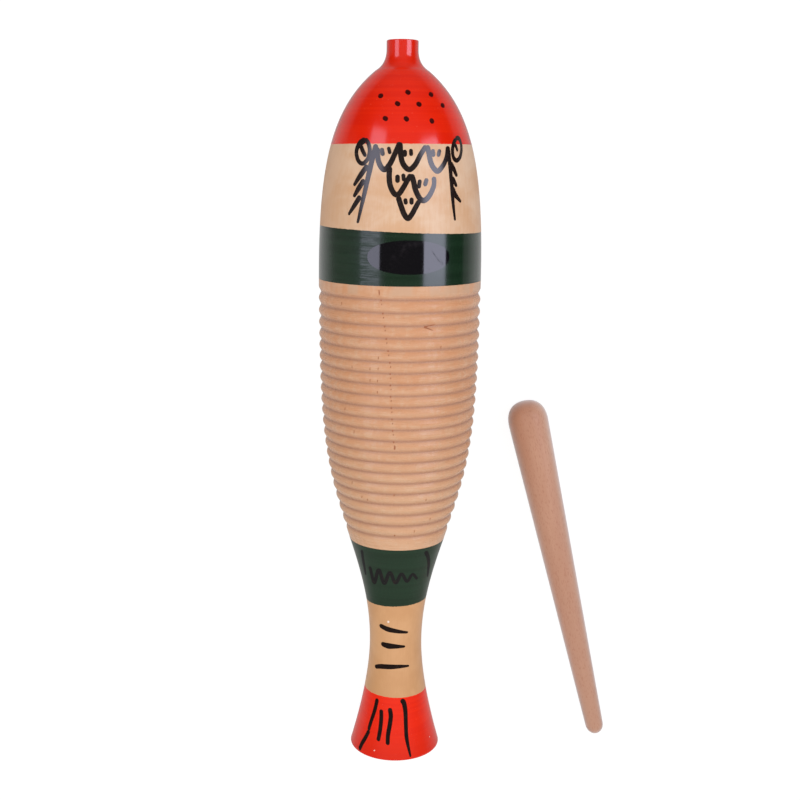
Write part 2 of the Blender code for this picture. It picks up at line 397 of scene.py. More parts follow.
def scraper_profile():
    """Section of the scraper from its rounded grip end to its rounded tip."""
    grip = quarter_round(
        (GRIP_ROUND, 0.0),
        (GRIP_ROUND, GRIP_RADIUS),
        math.pi,
        math.pi / 2,
        GRIP_SQUARENESS,
    )
    tip = quarter_round(
        (SCRAPER_LENGTH - TIP_ROUND, 0.0),
        (TIP_ROUND, TIP_RADIUS),
        math.pi / 2,
        0.0,
    )
    return grip + tip


# Where the pieces lie

def axis_frame(far_end, axis):
    """Matrix of a turned piece: Z along its axis from the far end, -Y its upper side."""
    along = axis.normalized()
    across = Vector((along.y, -along.x, 0.0)).normalized()
    down = along.cross(across)
    turn_matrix = Matrix((across, down, along)).transposed().to_4x4()
    return Matrix.Translation(far_end) @ turn_matrix


def guiro_frame():
    """The guiro's frame, from the flat end of its foot."""
    foot = next(mount for mount in frame["record"]["mounts"] if mount["name"] == "foot_face")
    return axis_frame(Vector(foot["pos_m"]), -Vector(foot["axis"]))


def scraper_frame():
    """The scraper's frame, from the ends of its solid."""
    heading = Vector((-math.sin(SCRAPER_ANGLE), math.cos(SCRAPER_ANGLE), 0.0))
    points = [vertex.co for vertex in frame["nodes"]["scraper"].data.vertices]
    tip = min(points, key=heading.dot)
    grip = max(points, key=heading.dot)
    return axis_frame(tip, grip - tip)


def mesh_piece(name, sketch, matrix, material):
    """An object from a bmesh drawn in the frame of its turned piece.

    Each point keeps its place in that frame as an attribute, which the finishes read.
    """
    mesh = bpy.data.meshes.new(name)
    sketch.to_mesh(mesh)
    sketch.free()
    places = [0.0] * (3 * len(mesh.vertices))
    mesh.vertices.foreach_get("co", places)
    mesh.attributes.new(PLACE, "FLOAT_VECTOR", "POINT").data.foreach_set("vector", places)
    mesh.transform(matrix)
    mesh.materials.append(material)
    mesh.shade_smooth()
    mesh.set_sharp_from_angle(angle=SHARP_ANGLE)
    piece = bpy.data.objects.new(name, mesh)
    bpy.context.collection.objects.link(piece)
    return piece


def turn(name, profile, length, closed, segments, matrix, material, waves=None):
    """Turn a section round the local Z axis, station 0 at the top and the far end at the origin.

    waves gives each point of the section its depth in a groove and its flank of a rib.
    """
    sketch = bmesh.new()
    groove = sketch.verts.layers.float.new(GROOVE)
    flank = sketch.verts.layers.float.new(FLANK)
    corners = [sketch.verts.new((radius, 0.0, length - station)) for station, radius in profile]
    for corner, wave in zip(corners, waves or []):
        corner[groove], corner[flank] = wave
    following = corners[1:] + corners[:1] if closed else corners[1:]
    for near, far in zip(corners, following):
        sketch.edges.new((near, far))
    bmesh.ops.spin(
        sketch,
        geom=sketch.verts[:] + sketch.edges[:],
        cent=(0.0, 0.0, 0.0),
        axis=(0.0, 0.0, 1.0),
        angle=2 * math.pi,
        steps=segments,
        use_merge=True,
    )
    bmesh.ops.remove_doubles(sketch, verts=sketch.verts[:], dist=MERGE_DISTANCE)
    bmesh.ops.recalc_face_normals(sketch, faces=sketch.faces[:])
    return mesh_piece(name, sketch, matrix, material)


# Marks on the turned surface; a path is pulled at each point along the line between its neighbours

PATH_PULL = 1 / 6
STROKE_SPACING = 0.35
STROKE_COLUMNS = 4
STROKE_END = 0.02
STROKE_STEP = 0.0004 * MM
INK_TOP = 0.05 * MM
INK_BOTTOM = -0.03 * MM


def on_surface(outline, across, station, lift):
    """A point of the guiro's surface in its own frame, raised by lift."""
    radius = radius_at(outline, station)
    rise = radius_at(outline, station + SLOPE_STEP) - radius_at(outline, station - SLOPE_STEP)
    slope = math.atan2(rise, 2 * SLOPE_STEP)
    angle = across / radius
    out = radius + lift * math.cos(slope)
    up = FOOT_END - station + lift * math.sin(slope)
    return Vector((out * math.sin(angle), -out * math.cos(angle), up))


def smooth_path(points, spacing):
    """Points along a rounded line through the given ones, about evenly apart."""
    points = [Vector(point) for point in points]
    path = []
    for index in range(len(points) - 1):
        before = points[max(index - 1, 0)]
        start, end = points[index], points[index + 1]
        after = points[min(index + 2, len(points) - 1)]
        steps = max(2, math.ceil((end - start).length / spacing))
        leave = start + (end - before) * PATH_PULL
        arrive = end - (after - start) * PATH_PULL
        path += interpolate_bezier(start, leave, arrive, end, steps + 1)[:-1]
    return path + [points[-1]]


def add_stroke(sketch, outline, points, widths, lift):
    """One closed pen stroke, in millimetres, whose width runs evenly through the given widths."""
    path = smooth_path(points, STROKE_SPACING)
    lengths = [0.0]
    for near, far in zip(path, path[1:]):
        lengths.append(lengths[-1] + (far - near).length)
    total = lengths[-1]
    rows = []
    for index, point in enumerate(path):
        ahead = path[min(index + 1, len(path) - 1)] - path[max(index - 1, 0)]
        side = Vector((-ahead.y, ahead.x)).normalized()
        place = lengths[index] / total * (len(widths) - 1)
        part = min(int(place), len(widths) - 2)
        half = (widths[part] + (widths[part + 1] - widths[part]) * (place - part)) / 2
        to_end = min(lengths[index], total - lengths[index])
        if to_end < half:
            half *= math.sqrt(max(1 - (1 - to_end / half) ** 2, STROKE_END))
        rows.append((point, side * half))
    layers = []
    for height in (INK_TOP + lift, INK_BOTTOM):
        layer = []
        for point, half in rows:
            row = []
            for column in range(STROKE_COLUMNS + 1):
                spot = point + half * (2 * column / STROKE_COLUMNS - 1)
                row.append(sketch.verts.new(on_surface(outline, spot.x * MM, spot.y * MM, height)))
            layer.append(row)
        layers.append(layer)
    skin_layers(sketch, layers)


def skin_layers(sketch, layers):
    """Close two like grids of points, one above the other, into a thin plate."""
    top, bottom = layers
    for row in range(len(top) - 1):
        for column in range(len(top[0]) - 1):
            sketch.faces.new(corner_loop(top, row, column))
            sketch.faces.new(reversed(corner_loop(bottom, row, column)))
    join_loops(sketch, border_loop(top), border_loop(bottom))


def corner_loop(layer, row, column):
    """The four corners of one cell of a grid."""
    return (
        layer[row][column],
        layer[row + 1][column],
        layer[row + 1][column + 1],
        layer[row][column + 1],
    )


def border_loop(layer):
    """The points round the border of a grid."""
    near_side = [row[0] for row in layer]
    far_side = [row[-1] for row in layer[-2::-1]]
    return near_side + layer[-1][1:] + far_side + layer[0][-2:0:-1]


def join_loops(sketch, first, second):
    """A band of faces between two like loops of points."""
    for index in range(len(first)):
        sketch.faces.new((first[index - 1], second[index - 1], second[index], first[index]))


def drawing(name, outline, strokes, matrix, layer):
    """All strokes of one drawing as one piece; each lies a hair higher than the one before it."""
    sketch = bmesh.new()
    for index, (points, widths) in enumerate(strokes):
        add_stroke(sketch, outline, points, widths, index * STROKE_STEP)
    bmesh.ops.recalc_face_normals(sketch, faces=sketch.faces[:])
    return mesh_piece(name, sketch, matrix, thin_finish(layer))


def dab(x, y, length, width, lean):
    """A short upright touch of the pen, leaning to the right by the given degrees."""
    lean = math.radians(lean)
    half = Vector((math.sin(lean), -math.cos(lean))) * length / 2
    center = Vector((x, y))
    return [center - half, center, center + half], (width, width, width)


# The marker drawing. A line has its points, and the widths that the pen goes through along it. A dab
# has its place, its length and width where these differ from dab to dab, and its lean in degrees
HEAD_DOTS = [
    (-11.8, 31.4, 70),
    (3.2, 29.4, -55),
    (16.7, 30.2, -60),
    (-2.3, 35.6, -60),
    (9.3, 35.7, -60),
    (24.6, 35.8, -65),
    (-8.8, 43.5, -65),
    (2.5, 43.6, -50),
    (16.8, 44.4, -40),
]
DOT_LENGTH = 3.1
DOT_WIDTH = 2.5

LEFT_EYE = [
    (-20.0, 54.4), (-23.8, 56.4), (-25.8, 61.0), (-24.4, 65.6), (-21.4, 67.2),
    (-18.4, 64.6), (-17.4, 60.4), (-18.4, 56.4), (-20.6, 54.2),
]
RIGHT_EYE = [
    (33.6, 53.4), (31.4, 56.2), (30.4, 60.0), (31.2, 63.6), (33.6, 65.0),
    (36.6, 63.0), (38.2, 59.0), (37.8, 55.2), (35.8, 53.0), (33.2, 53.6),
]
EYES = [
    (LEFT_EYE, (2.9, 2.5, 2.3, 2.5)),
    ([(-24.4, 57.8), (-21.8, 55.6), (-19.6, 55.4)], (2.6, 3.2, 2.8)),
    ([(-23.2, 57.4), (-21.6, 60.6), (-19.6, 63.6)], (2.6, 2.5, 2.0)),
    (RIGHT_EYE, (2.5, 2.4, 2.5)),
    ([(31.0, 56.6), (32.8, 56.8), (34.6, 60.2)], (2.1, 2.1, 1.7)),
]
SCALE_WIDTHS = (2.95, 2.95, 2.655)
SCALES = [
    [(-13.2, 58.5), (-12.2, 66.0), (-9.2, 70.2), (-6.0, 67.3), (-3.2, 61.5), (-0.8, 55.8)],
    [(-0.8, 55.8), (-0.3, 62.0), (1.0, 67.0), (4.2, 70.0), (7.5, 67.5), (10.5, 62.0), (13.6, 57.4)],
    [(14.0, 57.2), (15.0, 61.0), (16.6, 67.0), (20.0, 70.7), (23.5, 68.0), (26.0, 63.5), (27.0, 57.5)],
    [(-6.0, 68.5), (-6.3, 74.0), (-5.5, 79.0), (-3.3, 82.8), (-1.0, 82.8), (1.6, 79.0), (5.3, 72.4)],
    [
        (5.4, 72.4), (6.7, 76.0), (8.0, 81.0), (10.5, 85.3),
        (13.0, 86.0), (16.0, 83.0), (18.2, 78.0), (18.0, 73.6),
    ],
    [(-1.5, 84.0), (0.2, 89.0), (2.0, 93.5), (4.0, 95.6), (6.0, 93.5), (8.2, 89.5), (10.2, 86.0)],
]
SCALE_DABS = [
    (-10.2, 61.0, 4.4, 2.4, -12), (-6.4, 60.2, 4.0, 2.0, -15),
    (1.8, 61.6, 3.8, 2.6, 0), (5.2, 61.1, 3.8, 2.1, -4),
    (17.6, 61.2, 4.2, 2.3, -8), (21.1, 61.2, 4.2, 2.3, 15),
    (-1.8, 74.9, 4.4, 2.5, 0), (1.4, 74.2, 4.2, 2.2, -8),
    (9.9, 77.5, 4.8, 2.2, 8), (13.5, 76.6, 4.4, 2.4, 18),
    (2.6, 86.7, 3.4, 2.2, -10), (5.8, 86.5, 3.8, 2.3, 0),
]
FINS = [
    ([(-13.6, 57.0), (-15.6, 64.0), (-18.0, 74.0), (-20.4, 84.0), (-24.2, 98.8)], (2.9, 3.0, 2.5, 1.6)),
    ([(-18.4, 68.0), (-22.3, 72.8), (-27.0, 79.0)], (2.8, 3.0, 1.8)),
    ([(-20.2, 75.6), (-23.0, 79.2), (-27.0, 85.0)], (2.9, 3.0, 1.9)),
    ([(-22.6, 84.2), (-25.6, 88.4), (-30.4, 94.6)], (3.0, 2.7, 1.5)),
    ([(27.0, 57.5), (28.2, 66.0), (29.5, 77.0), (30.7, 88.0), (32.2, 97.0)], (2.6, 2.6, 2.5, 1.4)),
    ([(28.4, 66.0), (31.0, 69.4), (33.6, 73.6)], (2.8, 2.8, 1.8)),
    ([(29.6, 73.8), (31.4, 76.2), (33.4, 79.0)], (2.8, 2.6, 1.7)),
    ([(29.8, 79.0), (32.2, 83.2), (36.8, 87.2)], (3.0, 2.9, 1.4)),
]


def face_strokes():
    """Eyes, scales and fins on the head."""
    scales = [(scale, SCALE_WIDTHS) for scale in SCALES]
    return EYES + scales + [dab(*touch) for touch in SCALE_DABS] + FINS


def dot_strokes():
    """The dots of the red cap."""
    return [dab(x, y, DOT_LENGTH, DOT_WIDTH, lean) for x, y, lean in HEAD_DOTS]


WAVE_START = -17.5
WAVE_LENGTH = 31.0
WAVE_STATION = 306.0
WAVE_HEIGHTS = (5.4, 1.6)
WAVE_CRESTS = 4.5
WAVE_POINTS = 45
WAVE_WIDTHS = (2.5, 2.2, 1.8)
TAIL_PEN = 1.15

GILL_LINES = [
    ([(-23.2, 290.4), (-22.6, 298.0), (-21.3, 307.8)], (2.3, 2.6, 1.5)),
    ([(18.2, 289.4), (20.8, 294.6), (22.0, 300.0), (22.3, 309.0)], (2.9, 2.7, 1.6)),
]
TAIL_LINES = [
    ([(-10.4, 339.2), (-5.0, 340.9), (0.0, 341.8), (7.8, 343.3)], (2.5, 2.9, 2.2, 1.1)),
    ([(-9.2, 351.0), (-5.0, 351.7), (0.0, 351.8), (6.0, 352.2)], (2.4, 3.3, 2.3, 1.1)),
    (
        [(-13.9, 367.2), (-9.0, 365.6), (-3.0, 364.9), (3.0, 364.6), (8.8, 364.9)],
        (2.0, 2.6, 2.6, 2.0, 1.0),
    ),
    ([(-11.2, 385.6), (-13.0, 393.0), (-15.5, 400.0), (-17.4, 405.8)], (2.2, 2.1, 2.0)),
    ([(-16.7, 405.6), (-19.6, 410.6), (-22.4, 414.8), (-24.8, 419.2)], (2.0, 2.2, 2.3)),
    ([(-8.4, 391.4), (-8.3, 397.0), (-9.0, 404.0), (-10.2, 410.2)], (2.2, 2.2, 2.1)),
    ([(-3.1, 389.8), (-2.3, 394.5), (-2.9, 400.0), (-3.9, 406.0), (-4.0, 411.6)], (2.3, 2.3, 2.1)),
    (
        [(3.4, 385.4), (5.4, 386.6), (6.6, 392.0), (7.0, 400.0), (7.6, 408.0), (10.2, 419.0)],
        (2.6, 2.2, 2.1, 1.0),
    ),
]


def band_strokes():
    """A fading wave and two gill lines on the green band."""
    wave = []
    for step in range(WAVE_POINTS + 1):
        share = step / WAVE_POINTS
        height = WAVE_HEIGHTS[0] + (WAVE_HEIGHTS[1] - WAVE_HEIGHTS[0]) * share
        swing = math.cos(2 * math.pi * WAVE_CRESTS * share)
        wave.append((WAVE_START + WAVE_LENGTH * share, WAVE_STATION - height * swing))
    return GILL_LINES + [(wave, WAVE_WIDTHS)]


def tail_strokes():
    """Dashes on the stem and the rays of the tail."""
    return [(points, [TAIL_PEN * width for width in widths]) for points, widths in TAIL_LINES]


# Marks in the wood of the ribs: a vein that shows at the grooves, ticks, and a forked check; and pale
# specks at the tail, partly painted glints and partly dust

VEIN = [(-9.7, 142.0), (-7.1, 160.0), (-4.8, 174.0), (-4.3, 193.0), (-2.8, 214.5), (-1.9, 222.0)]
VEIN_LEAN = 8
# At each groove that the vein crosses: how far across and on a dab lies, its length and its width
VEIN_DABS = [(0.0, 0.2, 1.1, 0.8), (0.4, 2.3, 0.9, 0.5)]
VEIN_SPOTS = [(-1.7, 222.1, 2.2, 1.0, 4), (-1.8, 251.2, 1.2, 0.8, 4), (-1.2, 277.2, 1.2, 0.8, 4)]
TICK_LENGTH = 1.7
TICK_WIDTH = 0.42
TICK_LEAN = 5
TICKS = [
    (-35.0, 143.0), (24.2, 165.7), (-11.3, 171.3), (-27.4, 177.6), (-16.1, 177.7), (-11.4, 177.4),
    (-16.0, 184.2), (-11.7, 184.2), (-11.7, 190.6), (-32.6, 202.3), (-26.1, 214.8), (-28.2, 246.3),
    (-21.2, 253.9), (-17.6, 255.2), (17.0, 254.7), (20.2, 267.7), (10.3, 274.6),
]
CHECKS = [
    ([(20.2, 153.0), (16.5, 153.7), (13.5, 154.2)], (0.35, 0.6, 0.9)),
    ([(13.5, 154.2), (16.5, 155.2), (19.0, 156.1)], (0.9, 0.6, 0.3)),
    ([(-11.2, 134.0), (-11.1, 135.5), (-11.0, 137.0)], (0.4, 0.7, 0.4)),
]
# Pale specks, partly painted glints and partly dust
GLINT_AND_DUST_SPECKS = [(-4.5, 336.0, 1.5, 1.3, 0), (-12.5, 416.0, 1.1, 0.5, 60), (26.0, 412.0, 0.6, 0.5, 20)]


def wood_mark_strokes():
    """The vein crosses the upper grooves; ticks and checks lie where the wood has them."""
    strokes = CHECKS + [dab(*touch) for touch in VEIN_SPOTS]
    for groove in groove_stations():
        station = groove / MM
        after = bisect_right([spot[1] for spot in VEIN], station)
        if after == len(VEIN):
            break
        near, far = VEIN[max(after - 1, 0)], VEIN[max(after, 1)]
        share = (station - near[1]) / (far[1] - near[1])
        across = near[0] + (far[0] - near[0]) * share
        for aside, on, length, width in VEIN_DABS:
            strokes.append(dab(across + aside, station + on, length, width, VEIN_LEAN))
    return strokes + [dab(x, y, TICK_LENGTH, TICK_WIDTH, TICK_LEAN) for x, y in TICKS]


def speck_strokes():
    """Small pale specks on the stem and the red foot, partly painted glints and partly dust."""
    return [dab(*touch) for touch in GLINT_AND_DUST_SPECKS]


# The sticker, with a small fold whose height follows a stretch of a sine

LABEL_CENTER = (5.2, 116.4)
LABEL_SIZE = (46.4, 18.2)
LABEL_RINGS = 44
LABEL_SPOKES = 220
LABEL_TOP = 0.16 * MM
LABEL_BOTTOM = -0.03 * MM
LABEL_SQUARENESS = 2.15
CREASE_START = Vector((10.5, -6.5))
CREASE_END = Vector((18.5, 3.5))
CREASE_WIDTH = 0.5
CREASE_HEIGHT = 0.11 * MM
CREASE_SINE = (0.15 * math.pi, 0.85 * math.pi)


def crease_height(spot):
    """How far a small fold lifts the sticker at a spot, measured from its middle."""
    along = CREASE_END - CREASE_START
    share = min(max((spot - CREASE_START).dot(along) / along.length_squared, 0.0), 1.0)
    distance = (spot - CREASE_START - along * share).length / CREASE_WIDTH
    rise = math.sin(CREASE_SINE[0] + (CREASE_SINE[1] - CREASE_SINE[0]) * share)
    return CREASE_HEIGHT * math.exp(-distance ** 2) * rise


def label_ring(sketch, outline, share, height, creased):
    """One ring of points of the sticker, at a share of the way from its middle to its rim."""
    ring = []
    for spoke in range(LABEL_SPOKES):
        across, along = round_point(2 * math.pi * spoke / LABEL_SPOKES, LABEL_SQUARENESS)
        spot = Vector((across * LABEL_SIZE[0], along * LABEL_SIZE[1])) / 2 * share
        place = (Vector(LABEL_CENTER) + spot) * MM
        lift = height + creased * crease_height(spot)
        ring.append(sketch.verts.new(on_surface(outline, place.x, place.y, lift)))
    return ring


def blank_label(outline, matrix):
    """A bare oval sticker that follows the round of the belly."""
    sketch = bmesh.new()
    middle = Vector(LABEL_CENTER) * MM
    rims = []
    for height, creased in ((LABEL_TOP, 1.0), (LABEL_BOTTOM, 0.0)):
        shares = [(ring + 1) / LABEL_RINGS for ring in range(LABEL_RINGS)]
        rings = [label_ring(sketch, outline, share, height, creased) for share in shares]
        hub = sketch.verts.new(on_surface(outline, middle.x, middle.y, height))
        for spoke in range(LABEL_SPOKES):
            sketch.faces.new((hub, rings[0][spoke - 1], rings[0][spoke]))
        for inner, outer in zip(rings, rings[1:]):
            join_loops(sketch, inner, outer)
        rims.append(rings[-1])
    join_loops(sketch, *rims)
    bmesh.ops.recalc_face_normals(sketch, faces=sketch.faces[:])
    return mesh_piece("blank_label", sketch, matrix, thin_finish("label_film"))


# Camera

CAMERA_STATION = 0.0656
CAMERA_DISTANCE = 0.6789
CAMERA_SIDE = 0.00093
CAMERA_PITCH = math.radians(11.5)
CAMERA_ROLL = math.radians(0.696)
CAMERA_LENS = 52.875
SENSOR_WIDTH = 36.0
CAMERA_CLIP = 0.01


def add_camera(guiro):
    """A camera over the head that looks along the guiro towards its tail."""
    across, down, along = [guiro.to_3x3().col[axis].copy() for axis in range(3)]
    out = -down
    view = -out * math.cos(CAMERA_PITCH) - along * math.sin(CAMERA_PITCH)
    up = along * math.cos(CAMERA_PITCH) - out * math.sin(CAMERA_PITCH)
    right = across * math.cos(CAMERA_ROLL) + up * math.sin(CAMERA_ROLL)
    up = up * math.cos(CAMERA_ROLL) - across * math.sin(CAMERA_ROLL)
    place = guiro @ Vector((CAMERA_SIDE, -CAMERA_DISTANCE, FOOT_END - CAMERA_STATION))
    data = bpy.data.cameras.new("camera")
    data.lens = CAMERA_LENS
    data.sensor_width = SENSOR_WIDTH
    data.clip_start = CAMERA_CLIP
    camera = bpy.data.objects.new("camera", data)
    bpy.context.collection.objects.link(camera)
    turn_matrix = Matrix((right, up, -view)).transposed().to_4x4()
    camera.matrix_world = Matrix.Translation(place) @ turn_matrix
    bpy.context.scene.camera = camera


# Node building
# Node building

class Graph:
    """Adds nodes to one tree. A value for a socket is a number, a colour, a vector or another socket."""

    def __init__(self, tree):
        self.tree = tree

    def feed(self, socket, value):
        if isinstance(value, bpy.types.NodeSocket):
            self.tree.links.new(value, socket)
        else:
            socket.default_value = value

    def node(self, kind, inputs, **settings):
        node = self.tree.nodes.new(kind)
        for key, value in settings.items():
            setattr(node, key, value)
        for key, value in inputs.items():
            self.feed(node.inputs[key], value)
        return node

    def math(self, operation, first, second=0.0):
        return self.node("ShaderNodeMath", {0: first, 1: second}, operation=operation).outputs[0]

    def add(self, *values):
        return reduce(partial(self.math, "ADD"), values)

    def multiply(self, *values):
        return reduce(partial(self.math, "MULTIPLY"), values)

    def rest(self, share):
        """What a share leaves of the whole."""
        return self.math("SUBTRACT", 1.0, share)

    def vector(self, operation, first, second):
        node = self.node("ShaderNodeVectorMath", {0: first, 1: second}, operation=operation)
        return node.outputs[0]

    def length(self, first):
        return self.node("ShaderNodeVectorMath", {0: first}, operation="LENGTH").outputs["Value"]

    def axes(self, place):
        return self.node("ShaderNodeSeparateXYZ", {0: place}).outputs

    def noise(self, place, scale, detail, roughness=0.5, distortion=0.0):
        inputs = {
            "Vector": place,
            "Scale": scale,
            "Detail": detail,
            "Roughness": roughness,
            "Distortion": distortion,
        }
        return self.node("ShaderNodeTexNoise", inputs).outputs["Fac"]

    def drawn_noise(self, place, stretch, *form):
        """Noise that is pressed together or drawn out along each axis."""
        return self.noise(self.vector("MULTIPLY", place, stretch), *form)

    def spread(self, value, low, high, to_low=0.0, to_high=1.0):
        """Ease a value from its own range into another one."""
        node = self.node(
            "ShaderNodeMapRange",
            {"Value": value, "From Min": low, "From Max": high, "To Min": to_low, "To Max": to_high},
            interpolation_type="SMOOTHSTEP",
        )
        return node.outputs["Result"]

    def between(self, share, first, second):
        """Ease from one value to another as a share goes from 0 to 1."""
        return self.spread(share, 0.0, 1.0, first, second)

    def mix(self, share, first, second):
        """Go from one colour to another as a share goes from 0 to 1."""
        return self.node("ShaderNodeMix", {0: share, 6: first, 7: second}, data_type="RGBA").outputs[2]

    def layers(self, color, *coats):
        """Lay tones over a colour one after the other, each by its own share."""
        for share, tone in coats:
            color = self.mix(share, color, tone)
        return color

    def group(self, name, **inputs):
        """A use of a node group with its named inputs."""
        node = self.tree.nodes.new("ShaderNodeGroup")
        node.node_tree = bpy.data.node_groups[name]
        for key, value in inputs.items():
            self.feed(node.inputs[key], value)
        return node.outputs

    def attribute(self, name):
        node = self.node("ShaderNodeAttribute", {}, attribute_name=name)
        return node.outputs["Vector" if name == PLACE else "Fac"]

    def bump(self, height, distance):
        return self.node("ShaderNodeBump", {"Height": height, "Distance": distance}).outputs["Normal"]


VECTOR = "NodeSocketVector"
COLOR = "NodeSocketColor"
VALUE = "NodeSocketFloat"


def new_group(name, inputs, outputs):
    """An empty node group; gives its graph, what is given to it, and where its results go."""
    tree = bpy.data.node_groups.new(name, "ShaderNodeTree")
    for label, kind in inputs.items():
        tree.interface.new_socket(label, in_out="INPUT", socket_type=kind)
    for label, kind in outputs.items():
        tree.interface.new_socket(label, in_out="OUTPUT", socket_type=kind)
    graph = Graph(tree)
    given = graph.node("NodeGroupInput", {}).outputs
    results = graph.node("NodeGroupOutput", {}).inputs
    return graph, given, results


# Effects that finishes share. A noise has its scale, detail, roughness and distortion in that order,
# after its stretch along the three axes where it has one. A span has the two values to ease between,
# and then the results there, where these aren't 0 and 1
NOISE_SPAN = (0.3, 0.7)
ALONG_GRAIN = (1.0, 1.0, 0.05)
CLOUD = (48.0, 3.0, 0.55, 0.5)
FINE_CLOUD = (190.0, 2.0)
FINE_CLOUD_SHARE = (-0.16, 0.16)
LAYER_WOBBLE = (22.0, 3.0)
LAYER_WOBBLE_DEPTH = 0.012
LAYER_RADIANS_PER_METRE = 2100.0
LAYER_SPAN = (-0.6, 0.8)
FIBRE = (ALONG_GRAIN, 1500.0, 2.0, 0.6)
FIBRE_SHARE = (-0.12, 0.12)
TONE_SPAN = (-0.15, 1.15)
PORES = ((1.0, 1.0, 0.3), 1500.0, 1.0, 0.4)
PORE_PATCHES = (60.0, 1.0)
PORE_PATCH_SHARE = 0.12
PORE_SPAN = (0.6, 0.74)
LATHE_MARKS = {
    "Height": ((14.0, 14.0, 700.0), 1.0, 2.0, 0.55),
    "Streak": ((9.0, 9.0, 430.0), 1.0, 2.0, 0.6),
    "Scuff": ((110.0, 110.0, 1500.0), 1.0, 3.0, 0.6),
}
EDGE_NOISE = (900.0, 2.0)
EDGE_NOISE_SPAN = (0.2, 0.8)
EDGE_RAGGED = (-0.12 * MM, 0.12 * MM)
EDGE_SOFT = (-0.12 * MM, 0.12 * MM)
DUST = (1300.0, 0.0)
DUST_PATCHES = (70.0, 1.0)
DUST_PATCH_SHARE = 0.1
DUST_SPAN = (0.83, 0.9)
DUST_STRENGTH = 0.25
WEAR_FORM = (3.0, 0.6)
WEAR_SPAN = (0.5, 0.75)
GRAIN_TO_WEAR = 2.0
GRAIN_DETAIL = 1.0


def wood_figure_group():
    """Wood: soft clouds between a deep and a pale tone, growth layers round a heart, and fine fibres."""
    graph, given, results = new_group(
        "wood_figure",
        {
            "Position": VECTOR,
            "Stretch": VECTOR,
            "Heart": VECTOR,
            "Deep": COLOR,
            "Pale": COLOR,
            "Rings": VALUE,
        },
        {"Color": COLOR, "Fibre": VALUE, "Layer": VALUE},
    )
    place = given["Position"]
    cloud = graph.drawn_noise(place, given["Stretch"], *CLOUD)
    fine_cloud = graph.drawn_noise(place, given["Stretch"], *FINE_CLOUD)
    away = graph.vector("SUBTRACT", place, given["Heart"])
    away = graph.length(graph.vector("MULTIPLY", away, ALONG_GRAIN))
    wobble = graph.multiply(graph.noise(place, *LAYER_WOBBLE), LAYER_WOBBLE_DEPTH)
    layer = graph.math("SINE", graph.multiply(graph.add(away, wobble), LAYER_RADIANS_PER_METRE))
    fibre = graph.drawn_noise(place, *FIBRE)
    tone = graph.add(
        graph.spread(cloud, *NOISE_SPAN),
        graph.spread(fine_cloud, *NOISE_SPAN, *FINE_CLOUD_SHARE),
        graph.multiply(layer, given["Rings"]),
        graph.spread(fibre, *NOISE_SPAN, *FIBRE_SHARE),
    )
    tone = graph.spread(tone, *TONE_SPAN)
    graph.feed(results["Color"], graph.mix(tone, given["Deep"], given["Pale"]))
    graph.feed(results["Fibre"], fibre)
    graph.feed(results["Layer"], graph.spread(layer, *LAYER_SPAN))


def wood_flecks_group():
    """Short dark pores that lie along the grain."""
    graph, given, results = new_group("wood_flecks", {"Position": VECTOR}, {"Mask": VALUE})
    pores = graph.drawn_noise(given["Position"], *PORES)
    patch = graph.noise(given["Position"], *PORE_PATCHES)
    pores = graph.add(pores, graph.multiply(patch, PORE_PATCH_SHARE))
    graph.feed(results["Mask"], graph.spread(pores, *PORE_SPAN))


def lathe_lines_group():
    """Fine lines that a lathe leaves round a turned piece, broader streaks, and short scuffs along them."""
    outputs = dict.fromkeys(LATHE_MARKS, VALUE)
    graph, given, results = new_group("lathe_lines", {"Position": VECTOR}, outputs)
    for label, mark in LATHE_MARKS.items():
        graph.feed(results[label], graph.drawn_noise(given["Position"], *mark))


def paint_edge_group():
    """Where the paint of a ring has begun: 0 before its edge, 1 after it. Tilt leans the ring."""
    graph, given, results = new_group(
        "paint_edge", {"Position": VECTOR, "Edge": VALUE, "Tilt": VALUE}, {"Mask": VALUE}
    )
    axes = graph.axes(given["Position"])
    station = graph.math("SUBTRACT", FOOT_END, axes["Z"])
    leant = graph.math("SUBTRACT", station, graph.multiply(axes["X"], given["Tilt"]))
    ragged = graph.noise(given["Position"], *EDGE_NOISE)
    ragged = graph.spread(ragged, *EDGE_NOISE_SPAN, *EDGE_RAGGED)
    past = graph.math("SUBTRACT", graph.add(leant, ragged), given["Edge"])
    graph.feed(results["Mask"], graph.spread(past, *EDGE_SOFT))


def paint_coat_group():
    """An even coat of paint with thin streaks of a deeper tone and a little dust."""
    graph, given, results = new_group(
        "paint_coat",
        {"Position": VECTOR, "Streak": VALUE, "Deep": COLOR, "Full": COLOR, "Dust": COLOR},
        {"Color": COLOR},
    )
    streak = graph.spread(given["Streak"], *NOISE_SPAN)
    dust = graph.noise(given["Position"], *DUST)
    patch = graph.noise(given["Position"], *DUST_PATCHES)
    dust = graph.add(dust, graph.multiply(patch, DUST_PATCH_SHARE))
    dust = graph.multiply(graph.spread(dust, *DUST_SPAN), DUST_STRENGTH)
    coat = graph.layers(given["Deep"], (streak, given["Full"]), (dust, given["Dust"]))
    graph.feed(results["Color"], coat)


def thin_wear_group():
    """Fine streaks in which a thin layer wears away, and the grain of its surface."""
    graph, given, results = new_group(
        "thin_wear",
        {"Position": VECTOR, "Scale": VALUE, "Amount": VALUE},
        {"Wear": VALUE, "Grain": VALUE},
    )
    wear = graph.noise(given["Position"], given["Scale"], *WEAR_FORM)
    graph.feed(results["Wear"], graph.spread(wear, *WEAR_SPAN, 0.0, given["Amount"]))
    grain_scale = graph.multiply(given["Scale"], GRAIN_TO_WEAR)
    graph.feed(results["Grain"], graph.noise(given["Position"], grain_scale, GRAIN_DETAIL))


